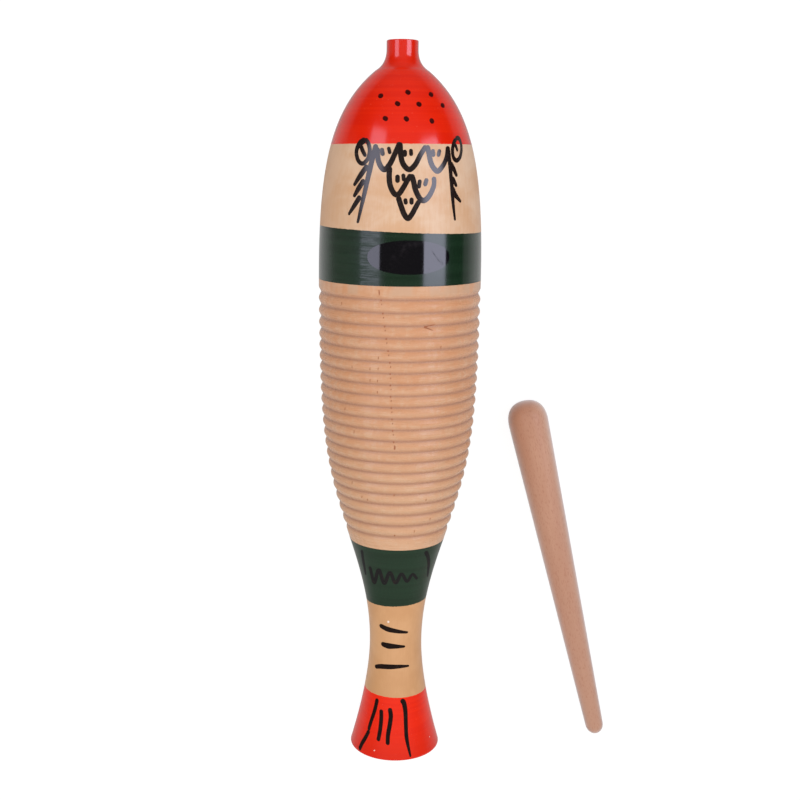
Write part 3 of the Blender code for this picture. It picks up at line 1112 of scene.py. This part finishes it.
# Tones
RED_DUST = (0.85, 0.16, 0.1, 1.0)
GREEN_DUST = (0.05, 0.08, 0.06, 1.0)
CAP_PAINT = {
    "Deep": (0.757, 0.0147, 0.002, 1.0),
    "Full": (0.82, 0.0205, 0.002, 1.0),
    "Dust": RED_DUST,
}
FOOT_PAINT = {
    "Deep": (0.795, 0.017, 0.002, 1.0),
    "Full": (0.85, 0.022, 0.002, 1.0),
    "Dust": RED_DUST,
}
HEAD_GREEN_PAINT = {
    "Deep": (0.0065, 0.022, 0.0095, 1.0),
    "Full": (0.0105, 0.031, 0.0145, 1.0),
    "Dust": GREEN_DUST,
}
TAIL_GREEN_PAINT = {
    "Deep": (0.0075, 0.028, 0.0115, 1.0),
    "Full": (0.0105, 0.037, 0.0165, 1.0),
    "Dust": GREEN_DUST,
}
MOUTH_RED = (0.725, 0.0155, 0.002, 1.0)
FOOT_RED_END = (0.69, 0.018, 0.003, 1.0)
HEAD_WOOD_DEEP = (0.655, 0.383, 0.215, 1.0)
HEAD_WOOD_PALE = (0.725, 0.506, 0.348, 1.0)
RIB_WOOD_DEEP = (0.622, 0.315, 0.169, 1.0)
RIB_WOOD_PALE = (0.656, 0.386, 0.238, 1.0)
# Pale flecks of the grain with painted highlights, and warm wood with painted shade, on the ribs' flanks
RIB_WOOD_FLECK_AND_HIGHLIGHT = (0.67, 0.403, 0.254, 1.0)
RIB_WOOD_WARM_AND_SHADE = (0.63, 0.285, 0.133, 1.0)
RIB_WOOD_LINE = (0.55, 0.265, 0.14, 1.0)
RIB_WOOD_LOW = (0.665, 0.455, 0.295, 1.0)
LAND_WOOD = (0.58, 0.375, 0.25, 1.0)
# Painted shade, with some dirt, in the grooves and at their bottoms
GROOVE_SHADE_AND_DIRT = (0.46, 0.235, 0.15, 1.0)
GROOVE_BOTTOM_SHADE = (0.33, 0.165, 0.105, 1.0)
STEM_WOOD_DEEP = (0.595, 0.312, 0.142, 1.0)
STEM_WOOD_PALE = (0.66, 0.366, 0.18, 1.0)
BEECH_DEEP = (0.486, 0.227, 0.131, 1.0)
BEECH_PALE = (0.55, 0.288, 0.18, 1.0)
BEECH_PORE = (0.40, 0.145, 0.07, 1.0)
# Painted shade towards the stick's tip
BEECH_TIP_SHADE = (0.456, 0.225, 0.14, 1.0)
BEECH_SHEEN = (0.85, 0.92, 1.0, 1.0)
INK = (0.013, 0.006, 0.0045, 1.0)
INK_WORN = (0.04, 0.022, 0.018, 1.0)
CAP_INK = (0.05, 0.0015, 0.0008, 1.0)
CAP_INK_WORN = (0.08, 0.004, 0.002, 1.0)
BAND_INK = (0.014, 0.0135, 0.014, 1.0)
LABEL_FILM = (0.003, 0.0025, 0.004, 1.0)
LABEL_FILM_WORN = (0.008, 0.006, 0.009, 1.0)
WOOD_MARK = (0.37, 0.125, 0.05, 1.0)
WOOD_MARK_PALE = (0.52, 0.23, 0.115, 1.0)
# Pale specks at the tail, partly painted glints and partly dust
SPECK_TONE = (0.86, 0.74, 0.66, 1.0)
SPECK_TONE_DIM = (0.72, 0.55, 0.45, 1.0)

# Gloss of the layers
VARNISH_IOR = 1.55
LACQUER_IOR = 1.75
FILM_IOR = 2.1
TAIL_IOR = 1.4
INK_IOR = 2.1
DULL_INK_IOR = 1.25
PLAIN_IOR = 1.5


def finish(name, plain):
    """A new material with plain values on its shader; gives its graph and the shader's inputs."""
    material = bpy.data.materials.new(name)
    material.use_nodes = True
    shader = material.node_tree.nodes["Principled BSDF"].inputs
    for socket, value in plain.items():
        shader[socket].default_value = value
    return material, Graph(material.node_tree), shader


# Finish of the head
MOUTH_RED_SPAN = (FOOT_END - 0.018, FOOT_END - 0.009)
LEFT_WARMTH_SPAN = (-0.042, -0.022, 0.6, 0.0)
WORN_LEFT_SPAN = (-0.044, -0.03)
WORN_RIGHT_SPAN = (-0.014, -0.004, 1.0, 0.0)
SCUFF_SPAN = (0.35, 0.65, 0.0, 0.85)
PAINT_ROUGHNESS = 0.17
WORN_ROUGHNESS = 0.2
VARNISH_ROUGHNESS = 0.22
LACQUER_ON_CAP = 0.6
LACQUER_ON_MOUTH = 1.0
LACQUER_ON_BAND = 0.87
PAINT_RELIEF = 0.007 * MM


def head_finish():
    """Red cap, deeper at the mouth; varnished wood, warmer at the left; green band, scuffed at the left."""
    material, graph, shader = finish(
        "head_finish", {"IOR": VARNISH_IOR, "Coat Roughness": 0.15, "Coat IOR": LACQUER_IOR}
    )
    place = graph.attribute(PLACE)
    axes = graph.axes(place)
    lines = graph.group("lathe_lines", Position=place)
    wood = graph.group(
        "wood_figure",
        Position=place,
        Stretch=(0.6, 0.6, 0.9),
        Heart=(-0.03, -0.07, 0.0),
        Deep=HEAD_WOOD_DEEP,
        Pale=HEAD_WOOD_PALE,
        Rings=0.07,
    )
    red = graph.group("paint_coat", Position=place, Streak=lines["Streak"], **CAP_PAINT)
    green = graph.group("paint_coat", Position=place, Streak=lines["Streak"], **HEAD_GREEN_PAINT)
    bare = graph.group("paint_edge", Position=place, Edge=RED_CAP_LENGTH, Tilt=RED_TILT)["Mask"]
    band_edge = HEAD_LENGTH - HEAD_GREEN_WIDTH
    band = graph.group("paint_edge", Position=place, Edge=band_edge, Tilt=HEAD_GREEN_TILT)["Mask"]
    mouth = graph.spread(axes["Z"], *MOUTH_RED_SPAN)
    natural = graph.mix(graph.spread(axes["X"], *LEFT_WARMTH_SPAN), wood["Color"], HEAD_WOOD_DEEP)
    color = graph.layers(red["Color"], (mouth, MOUTH_RED), (bare, natural), (band, green["Color"]))
    graph.feed(shader["Base Color"], color)
    worn = graph.multiply(
        graph.spread(axes["X"], *WORN_LEFT_SPAN), graph.spread(axes["X"], *WORN_RIGHT_SPAN), band
    )
    varnished = graph.math("SUBTRACT", bare, band)
    rough = graph.add(
        graph.multiply(worn, WORN_ROUGHNESS),
        graph.multiply(varnished, VARNISH_ROUGHNESS),
        PAINT_ROUGHNESS,
    )
    graph.feed(shader["Roughness"], rough)
    scuffs = graph.multiply(worn, graph.spread(lines["Scuff"], *SCUFF_SPAN))
    dulled = graph.math("MAXIMUM", varnished, scuffs)
    lacquer = graph.between(mouth, LACQUER_ON_CAP, LACQUER_ON_MOUTH)
    lacquer = graph.between(band, lacquer, LACQUER_ON_BAND)
    graph.feed(shader["Coat Weight"], graph.multiply(graph.rest(dulled), lacquer))
    lifted = graph.multiply(lines["Height"], graph.rest(varnished))
    graph.feed(shader["Normal"], graph.bump(lifted, PAINT_RELIEF))
    return material


# Finish of the barrel. Shares by layer run from the warm to the pale wood, and shares by flank from
# the side of a rib that faces the mouth to the side that faces the tail. By flank the wood gets painted
# shade on the side that faces the mouth and painted light on the side that faces the tail
FLANK_SPAN = (-1.0, 1.0)
RIB_BLOCKS = ((330.0, 330.0, 130.0), 1.0, 2.0, 0.6)
RIB_BLOCK_SPAN = (0.36, 0.62)
BLOCKS_BY_LAYER = (0.5, 1.0)
PALE_BY_LAYER = (0.05, 1.0)
# Painted light on the flanks of the ribs that face the tail, and painted shade on those that face the mouth
HIGHLIGHT_BY_FLANK = (0.1, 0.7)
WARM_BY_LAYER = (1.0, 0.1)
SHADE_BY_FLANK = (0.55, 0.2)
RIB_LINE_SPAN = (0.45, 0.72, 0.0, 0.45)
LOW_RIB_SPAN = (0.15, 0.24, 0.34, 0.0)
LAND_SPAN = (FOOT_END - 0.1385, FOOT_END - 0.136)
LAND_PATCHES = ((110.0, 110.0, 30.0), 1.0, 1.0)
LAND_PATCH_SPAN = (0.4, 0.6, 0.1, 0.75)
LAND_ROUGHNESS = 0.22
# Painted shade, with some dirt, that darkens the grooves
GROOVE_SHADE_SPAN = (0.1, 0.85, 0.0, 0.9)
GROOVE_SHADE_STREAK_SPAN = (0.2, 0.8, 0.8, 1.0)
GROOVE_BOTTOM_SHADE_SPAN = (0.6, 1.0, 0.0, 0.32)
RIB_ROUGHNESS_SPAN = (0.8, 1.2, 0.4, 0.22)
RIB_FIBRE_LIFT = 0.3
RIB_RELIEF = 0.02 * MM


def barrel_finish():
    """Bare turned wood with a plain land beside the head.

    Painted shade and some dirt darken the grooves. Painted shade warms the flanks that face the mouth,
    painted light and highlights pale the flanks that face the tail, and the wood is paler near the tail.
    """
    material, graph, shader = finish("barrel_finish", {"Sheen Weight": 0.1, "Sheen Roughness": 0.4})
    place = graph.attribute(PLACE)
    height = graph.axes(place)["Z"]
    groove = graph.attribute(GROOVE)
    flank = graph.spread(graph.attribute(FLANK), *FLANK_SPAN)
    lines = graph.group("lathe_lines", Position=place)
    wood = graph.group(
        "wood_figure",
        Position=place,
        Stretch=(0.7, 0.7, 3.2),
        Heart=(-0.012, 0.015, 0.0),
        Deep=RIB_WOOD_DEEP,
        Pale=RIB_WOOD_PALE,
        Rings=0.12,
    )
    blocks = graph.drawn_noise(place, *RIB_BLOCKS)
    layer = graph.between(wood["Layer"], *BLOCKS_BY_LAYER)
    layer = graph.multiply(graph.spread(blocks, *RIB_BLOCK_SPAN), layer)
    # Painted light and highlights on the tail-facing flanks, painted shade on the mouth-facing flanks, over
    # the grain's pale and warm layers
    pale = graph.multiply(graph.between(layer, *PALE_BY_LAYER), graph.between(flank, *HIGHLIGHT_BY_FLANK))
    warm = graph.multiply(graph.between(layer, *WARM_BY_LAYER), graph.between(flank, *SHADE_BY_FLANK))
    land = graph.spread(height, *LAND_SPAN)
    patches = graph.spread(graph.drawn_noise(place, *LAND_PATCHES), *LAND_PATCH_SPAN)
    streaks = graph.spread(lines["Streak"], *GROOVE_SHADE_STREAK_SPAN)
    color = graph.layers(
        wood["Color"],
        (pale, RIB_WOOD_FLECK_AND_HIGHLIGHT),
        (warm, RIB_WOOD_WARM_AND_SHADE),
        (graph.spread(lines["Scuff"], *RIB_LINE_SPAN), RIB_WOOD_LINE),
        (graph.spread(height, *LOW_RIB_SPAN), RIB_WOOD_LOW),
        (graph.multiply(land, patches), LAND_WOOD),
        # Painted shade, with some dirt, in the grooves, darkest at their bottoms
        (graph.multiply(graph.spread(groove, *GROOVE_SHADE_SPAN), streaks), GROOVE_SHADE_AND_DIRT),
        (graph.spread(groove, *GROOVE_BOTTOM_SHADE_SPAN), GROOVE_BOTTOM_SHADE),
    )
    graph.feed(shader["Base Color"], color)
    rough = graph.spread(graph.add(blocks, lines["Scuff"]), *RIB_ROUGHNESS_SPAN)
    graph.feed(shader["Roughness"], graph.between(land, rough, LAND_ROUGHNESS))
    lifted = graph.add(lines["Height"], graph.multiply(wood["Fibre"], RIB_FIBRE_LIFT))
    graph.feed(shader["Normal"], graph.bump(lifted, RIB_RELIEF))
    return material


# Finish of the tail
FOOT_END_SPAN = (0.0, 0.022, 0.7, 0.0)
STEM_ROUGHNESS = 0.42
FOOT_ROUGHNESS = 0.24
STEM_FIBRE_LIFT = 0.4
STEM_RELIEF = 0.01 * MM


def tail_finish():
    """Green band, varnished stem, and a red foot that deepens to its end."""
    material, graph, shader = finish(
        "tail_finish", {"IOR": TAIL_IOR, "Sheen Weight": 0.22, "Sheen Roughness": 0.4}
    )
    place = graph.attribute(PLACE)
    lines = graph.group("lathe_lines", Position=place)
    wood = graph.group(
        "wood_figure",
        Position=place,
        Stretch=(0.8, 0.8, 0.6),
        Heart=(0.02, 0.03, 0.0),
        Deep=STEM_WOOD_DEEP,
        Pale=STEM_WOOD_PALE,
        Rings=0.03,
    )
    red = graph.group("paint_coat", Position=place, Streak=lines["Streak"], **FOOT_PAINT)
    red = graph.mix(graph.spread(graph.axes(place)["Z"], *FOOT_END_SPAN), red["Color"], FOOT_RED_END)
    green = graph.group("paint_coat", Position=place, Streak=lines["Streak"], **TAIL_GREEN_PAINT)
    bare_edge = TAIL_START + TAIL_GREEN_WIDTH
    bare = graph.group("paint_edge", Position=place, Edge=bare_edge, Tilt=TAIL_GREEN_TILT)["Mask"]
    foot_edge = FOOT_END - FOOT_RED_WIDTH
    foot = graph.group("paint_edge", Position=place, Edge=foot_edge, Tilt=FOOT_TILT)["Mask"]
    color = graph.layers(green["Color"], (bare, wood["Color"]), (foot, red))
    graph.feed(shader["Base Color"], color)
    graph.feed(shader["Roughness"], graph.between(foot, STEM_ROUGHNESS, FOOT_ROUGHNESS))
    lifted = graph.add(lines["Height"], graph.multiply(wood["Fibre"], STEM_FIBRE_LIFT))
    graph.feed(shader["Normal"], graph.bump(lifted, STEM_RELIEF))
    return material


# Finish of the scraper
# Painted shade that darkens the stick towards its tip
TIP_SHADE_SPAN = (0.0, SCRAPER_LENGTH, 0.6, 0.0)
PORE_STRENGTH = 0.5
BEECH_ROUGHNESS = (0.38, 0.48)
BEECH_RELIEF = 0.02 * MM


def scraper_finish():
    """Satin beech with short dark pores and a cool haze at its edges, and painted shade that darkens it
    towards the tip.
    """
    material, graph, shader = finish(
        "scraper_finish",
        {
            "Coat Weight": 0.4,
            "Coat Roughness": 0.5,
            "Sheen Weight": 0.95,
            "Sheen Roughness": 0.5,
            "Sheen Tint": BEECH_SHEEN,
        },
    )
    place = graph.attribute(PLACE)
    wood = graph.group(
        "wood_figure",
        Position=place,
        Stretch=(1.0, 1.0, 0.12),
        Heart=(-0.03, -0.07, 0.0),
        Deep=BEECH_DEEP,
        Pale=BEECH_PALE,
        Rings=0.05,
    )
    pores = graph.group("wood_flecks", Position=place)["Mask"]
    # Painted shade that darkens the stick towards its tip
    tip = graph.spread(graph.axes(place)["Z"], *TIP_SHADE_SPAN)
    dark = graph.multiply(pores, PORE_STRENGTH)
    color = graph.layers(wood["Color"], (tip, BEECH_TIP_SHADE), (dark, BEECH_PORE))
    graph.feed(shader["Base Color"], color)
    graph.feed(shader["Roughness"], graph.spread(wood["Fibre"], *NOISE_SPAN, *BEECH_ROUGHNESS))
    lifted = graph.math("SUBTRACT", wood["Fibre"], pores)
    graph.feed(shader["Normal"], graph.bump(lifted, BEECH_RELIEF))
    return material


# Each thin layer: its tone, its worn tone, its roughness, the scale and amount of its wear, its IOR
THIN_LAYERS = {
    "varnished_ink": (INK, INK_WORN, 0.2, 420.0, 0.5, INK_IOR),
    "cap_ink": (CAP_INK, CAP_INK_WORN, 0.4, 420.0, 0.4, DULL_INK_IOR),
    "dull_ink": (INK, INK_WORN, 0.4, 420.0, 0.4, DULL_INK_IOR),
    "band_ink": (BAND_INK, INK_WORN, 0.4, 420.0, 0.4, DULL_INK_IOR),
    "label_film": (LABEL_FILM, LABEL_FILM_WORN, 0.08, 160.0, 1.0, FILM_IOR),
    "wood_mark": (WOOD_MARK, WOOD_MARK_PALE, 0.5, 500.0, 1.0, PLAIN_IOR),
    "glint_and_dust_speck": (SPECK_TONE, SPECK_TONE_DIM, 0.4, 900.0, 0.6, PLAIN_IOR),
}
THIN_WORN_ROUGHNESS = 0.1
THIN_RELIEF = 0.004 * MM


def thin_finish(name):
    """A thin layer of one tone that thins out to another in fine streaks."""
    tone, worn_tone, roughness, scale, amount, ior = THIN_LAYERS[name]
    material, graph, shader = finish(name, {"IOR": ior})
    surface = graph.group("thin_wear", Position=graph.attribute(PLACE), Scale=scale, Amount=amount)
    wear = surface["Wear"]
    graph.feed(shader["Base Color"], graph.mix(wear, tone, worn_tone))
    graph.feed(shader["Roughness"], graph.between(wear, roughness, roughness + THIN_WORN_ROUGHNESS))
    graph.feed(shader["Normal"], graph.bump(surface["Grain"], THIN_RELIEF))
    return material


# Ground, lamps and sky

WHITE = (1.0, 1.0, 1.0, 1.0)
FLOOR_RADIUS = 0.5
FLOOR_SEGMENTS = 96
FLOOR_DROP = 0.2 * MM
FLOOR_GLOW = 0.93
FLOOR_GLOW_REFLECTED = 0.34
FLOOR_SHADE = (0.12, 0.12, 0.12, 1.0)
FLOOR_WHITE = (0.85, 0.85, 0.85, 1.0)
# The reflected glow of the floor fades out over 0.32 m across and 0.5 m along the guiro
FLOOR_FADE = (1 / 0.32, 1 / 0.5, 0.0)
FLOOR_FADE_SPAN = (0.15, 1.0)
SKY_COLOR = (1.03, 1.005, 0.945, 1.0)
SKY_SPAN = (0.2, 1.0)
SKY_STRENGTHS = (0.05, 1.36)
SKY_GLOSS = 0.02
# Each glow: the two directions along one axis that it eases between, and its strengths there
MOUTH_FILL = (0.5, 1.0, 0.0, 0.28)
MOUTH_GLOW = (0.75, 1.0, 0.0, 0.07)
TAIL_GLOW = (-0.3, -0.75, 0.0, 0.46)
LEFT_GLOW = (-1.0, -0.84, 0.12, 0.0)
RIGHT_GLOW = (0.65, 0.95, 0.0, 0.45)
RIGHT_GLOW_REACH = (-0.12, -0.35, 0.0, 1.0)
LAMP_COLOR = (0.945, 0.955, 1.2)
LAMP_DISTANCE = 0.95
LAMP_TAIL_END = 0.25
# Each lamp: its angle from the upper side, its width, the station of its mouth end, its radiance
LEFT_LAMP = (math.radians(-41.5), 0.47, -0.68, 1.15)
RIGHT_LAMP = (math.radians(48.3), 0.55, -0.515, 1.75)


def add_floor(guiro):
    """White ground that stays white to the eye, keeps a faint shadow, and fades out in reflections."""
    sketch = bmesh.new()
    bmesh.ops.create_circle(sketch, cap_ends=True, segments=FLOOR_SEGMENTS, radius=FLOOR_RADIUS)
    mesh = bpy.data.meshes.new("floor")
    sketch.to_mesh(mesh)
    sketch.free()
    floor = bpy.data.objects.new("floor", mesh)
    floor.location.z = -FLOOR_DROP
    bpy.context.collection.objects.link(floor)
    material = bpy.data.materials.new("white_ground")
    material.use_nodes = True
    graph = Graph(material.node_tree)
    nodes = material.node_tree.nodes
    nodes.remove(nodes["Principled BSDF"])
    path = graph.node("ShaderNodeLightPath", {}).outputs
    place = graph.node("ShaderNodeNewGeometry", {}).outputs["Position"]
    beside = graph.vector("SUBTRACT", place, (guiro.translation.x, 0.0, 0.0))
    away = graph.length(graph.vector("MULTIPLY", beside, FLOOR_FADE))
    mirrored = graph.spread(away, *FLOOR_FADE_SPAN, FLOOR_GLOW_REFLECTED, 0.0)
    strength = graph.between(path["Is Glossy Ray"], FLOOR_GLOW, mirrored)
    glow = graph.node("ShaderNodeEmission", {"Strength": strength}).outputs[0]
    shade = graph.node("ShaderNodeBsdfDiffuse", {"Color": FLOOR_SHADE}).outputs[0]
    seen = graph.node("ShaderNodeAddShader", {0: glow, 1: shade}).outputs[0]
    white = graph.node("ShaderNodeBsdfDiffuse", {"Color": FLOOR_WHITE}).outputs[0]
    direct = graph.math("MAXIMUM", path["Is Camera Ray"], path["Is Glossy Ray"])
    direct = graph.math("MAXIMUM", direct, path["Is Transmission Ray"])
    mixed = graph.node("ShaderNodeMixShader", {0: direct, 1: white, 2: seen}).outputs[0]
    graph.feed(nodes["Material Output"].inputs["Surface"], mixed)
    mesh.materials.append(material)


def add_lamp(name, guiro, angle, width, mouth_end, radiance):
    """A long soft box beside the camera, parallel to the guiro and turned to its axis."""
    length = LAMP_TAIL_END - mouth_end
    data = bpy.data.lights.new(name, "AREA")
    data.shape = "RECTANGLE"
    data.size = width
    data.size_y = length
    data.color = LAMP_COLOR
    data.energy = radiance * math.pi * width * length
    lamp = bpy.data.objects.new(name, data)
    bpy.context.collection.objects.link(lamp)
    middle = (LAMP_TAIL_END + mouth_end) / 2
    swing = Matrix.Rotation(angle, 4, "Z")
    reach = Matrix.Translation((0.0, -LAMP_DISTANCE, FOOT_END - middle))
    lamp.matrix_world = guiro @ swing @ reach @ Matrix.Rotation(math.pi / 2, 4, "X")
    lamp.visible_camera = False


def add_sky():
    """White to the eye, else a fill from above and from past the mouth that reflections all but miss.

    Soft glows past both ends, at the left, and at the right towards the tail show in reflections.
    """
    world = bpy.data.worlds.new("sky")
    bpy.context.scene.world = world
    world.use_nodes = True
    graph = Graph(world.node_tree)
    background = world.node_tree.nodes["Background"].inputs
    path = graph.node("ShaderNodeLightPath", {}).outputs
    straight = graph.math("MAXIMUM", path["Is Camera Ray"], path["Is Transmission Ray"])
    toward = graph.axes(graph.node("ShaderNodeTexCoord", {}).outputs["Generated"])
    fill = graph.spread(toward["Z"], *SKY_SPAN, *SKY_STRENGTHS)
    fill = graph.add(fill, graph.spread(toward["Y"], *MOUTH_FILL))
    right = graph.spread(toward["X"], *RIGHT_GLOW)
    strength = graph.add(
        graph.multiply(fill, graph.between(path["Is Glossy Ray"], 1.0, SKY_GLOSS)),
        graph.spread(toward["Y"], *TAIL_GLOW),
        graph.spread(toward["Y"], *MOUTH_GLOW),
        graph.spread(toward["X"], *LEFT_GLOW),
        graph.multiply(right, graph.spread(toward["Y"], *RIGHT_GLOW_REACH)),
    )
    graph.feed(background["Color"], graph.mix(straight, SKY_COLOR, WHITE))
    graph.feed(background["Strength"], graph.math("MAXIMUM", strength, straight))


def build():
    """The four turned pieces, the trim that lies on them, and the stage."""
    guiro = guiro_frame()
    scraper = scraper_frame()
    wood_figure_group()
    wood_flecks_group()
    lathe_lines_group()
    paint_edge_group()
    paint_coat_group()
    thin_wear_group()
    head = turn("fish_head", head_profile(), FOOT_END, True, SEGMENTS, guiro, head_finish())
    barrel = turn(
        "scraping_barrel",
        barrel_profile(),
        FOOT_END,
        True,
        SEGMENTS,
        guiro,
        barrel_finish(),
        rib_wave(barrel_profile()),
    )
    tail = turn("fish_tail", tail_profile(), FOOT_END, False, SEGMENTS, guiro, tail_finish())
    stick = turn(
        "scraping_stick",
        scraper_profile(),
        SCRAPER_LENGTH,
        False,
        SCRAPER_SEGMENTS,
        scraper,
        scraper_finish(),
    )
    for piece, node, slot, body in (
        (head, "head_shell", "head_finish", "guiro"),
        (barrel, "ribbed_barrel", "barrel_wood", "guiro"),
        (tail, "tail_handle", "tail_finish", "guiro"),
        (stick, "scraper", "scraper_wood", "scraper"),
    ):
        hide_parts(node)
        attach(piece, body)
    for piece, slot in (
        (drawing("face_drawing", head_outline(), face_strokes(), guiro, "varnished_ink"), "head_finish"),
        (drawing("cap_dots", head_outline(), dot_strokes(), guiro, "cap_ink"), "head_finish"),
        (blank_label(head_outline(), guiro), "head_finish"),
        (drawing("wood_marks", ribbed_outline(), wood_mark_strokes(), guiro, "wood_mark"), "barrel_wood"),
        (drawing("band_drawing", tail_outline(), band_strokes(), guiro, "band_ink"), "tail_finish"),
        (drawing("tail_drawing", tail_outline(), tail_strokes(), guiro, "dull_ink"), "tail_finish"),
        (drawing("tail_specks", tail_outline(), speck_strokes(), guiro, "glint_and_dust_speck"), "tail_finish"),
    ):
        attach(piece, "guiro")
    add_camera(guiro)
    add_lamp("left_lamp", guiro, *LEFT_LAMP)
    add_lamp("right_lamp", guiro, *RIGHT_LAMP)
    add_floor(guiro)
    add_sky()


build()
bpy.context.scene.view_settings.view_transform = "Standard"
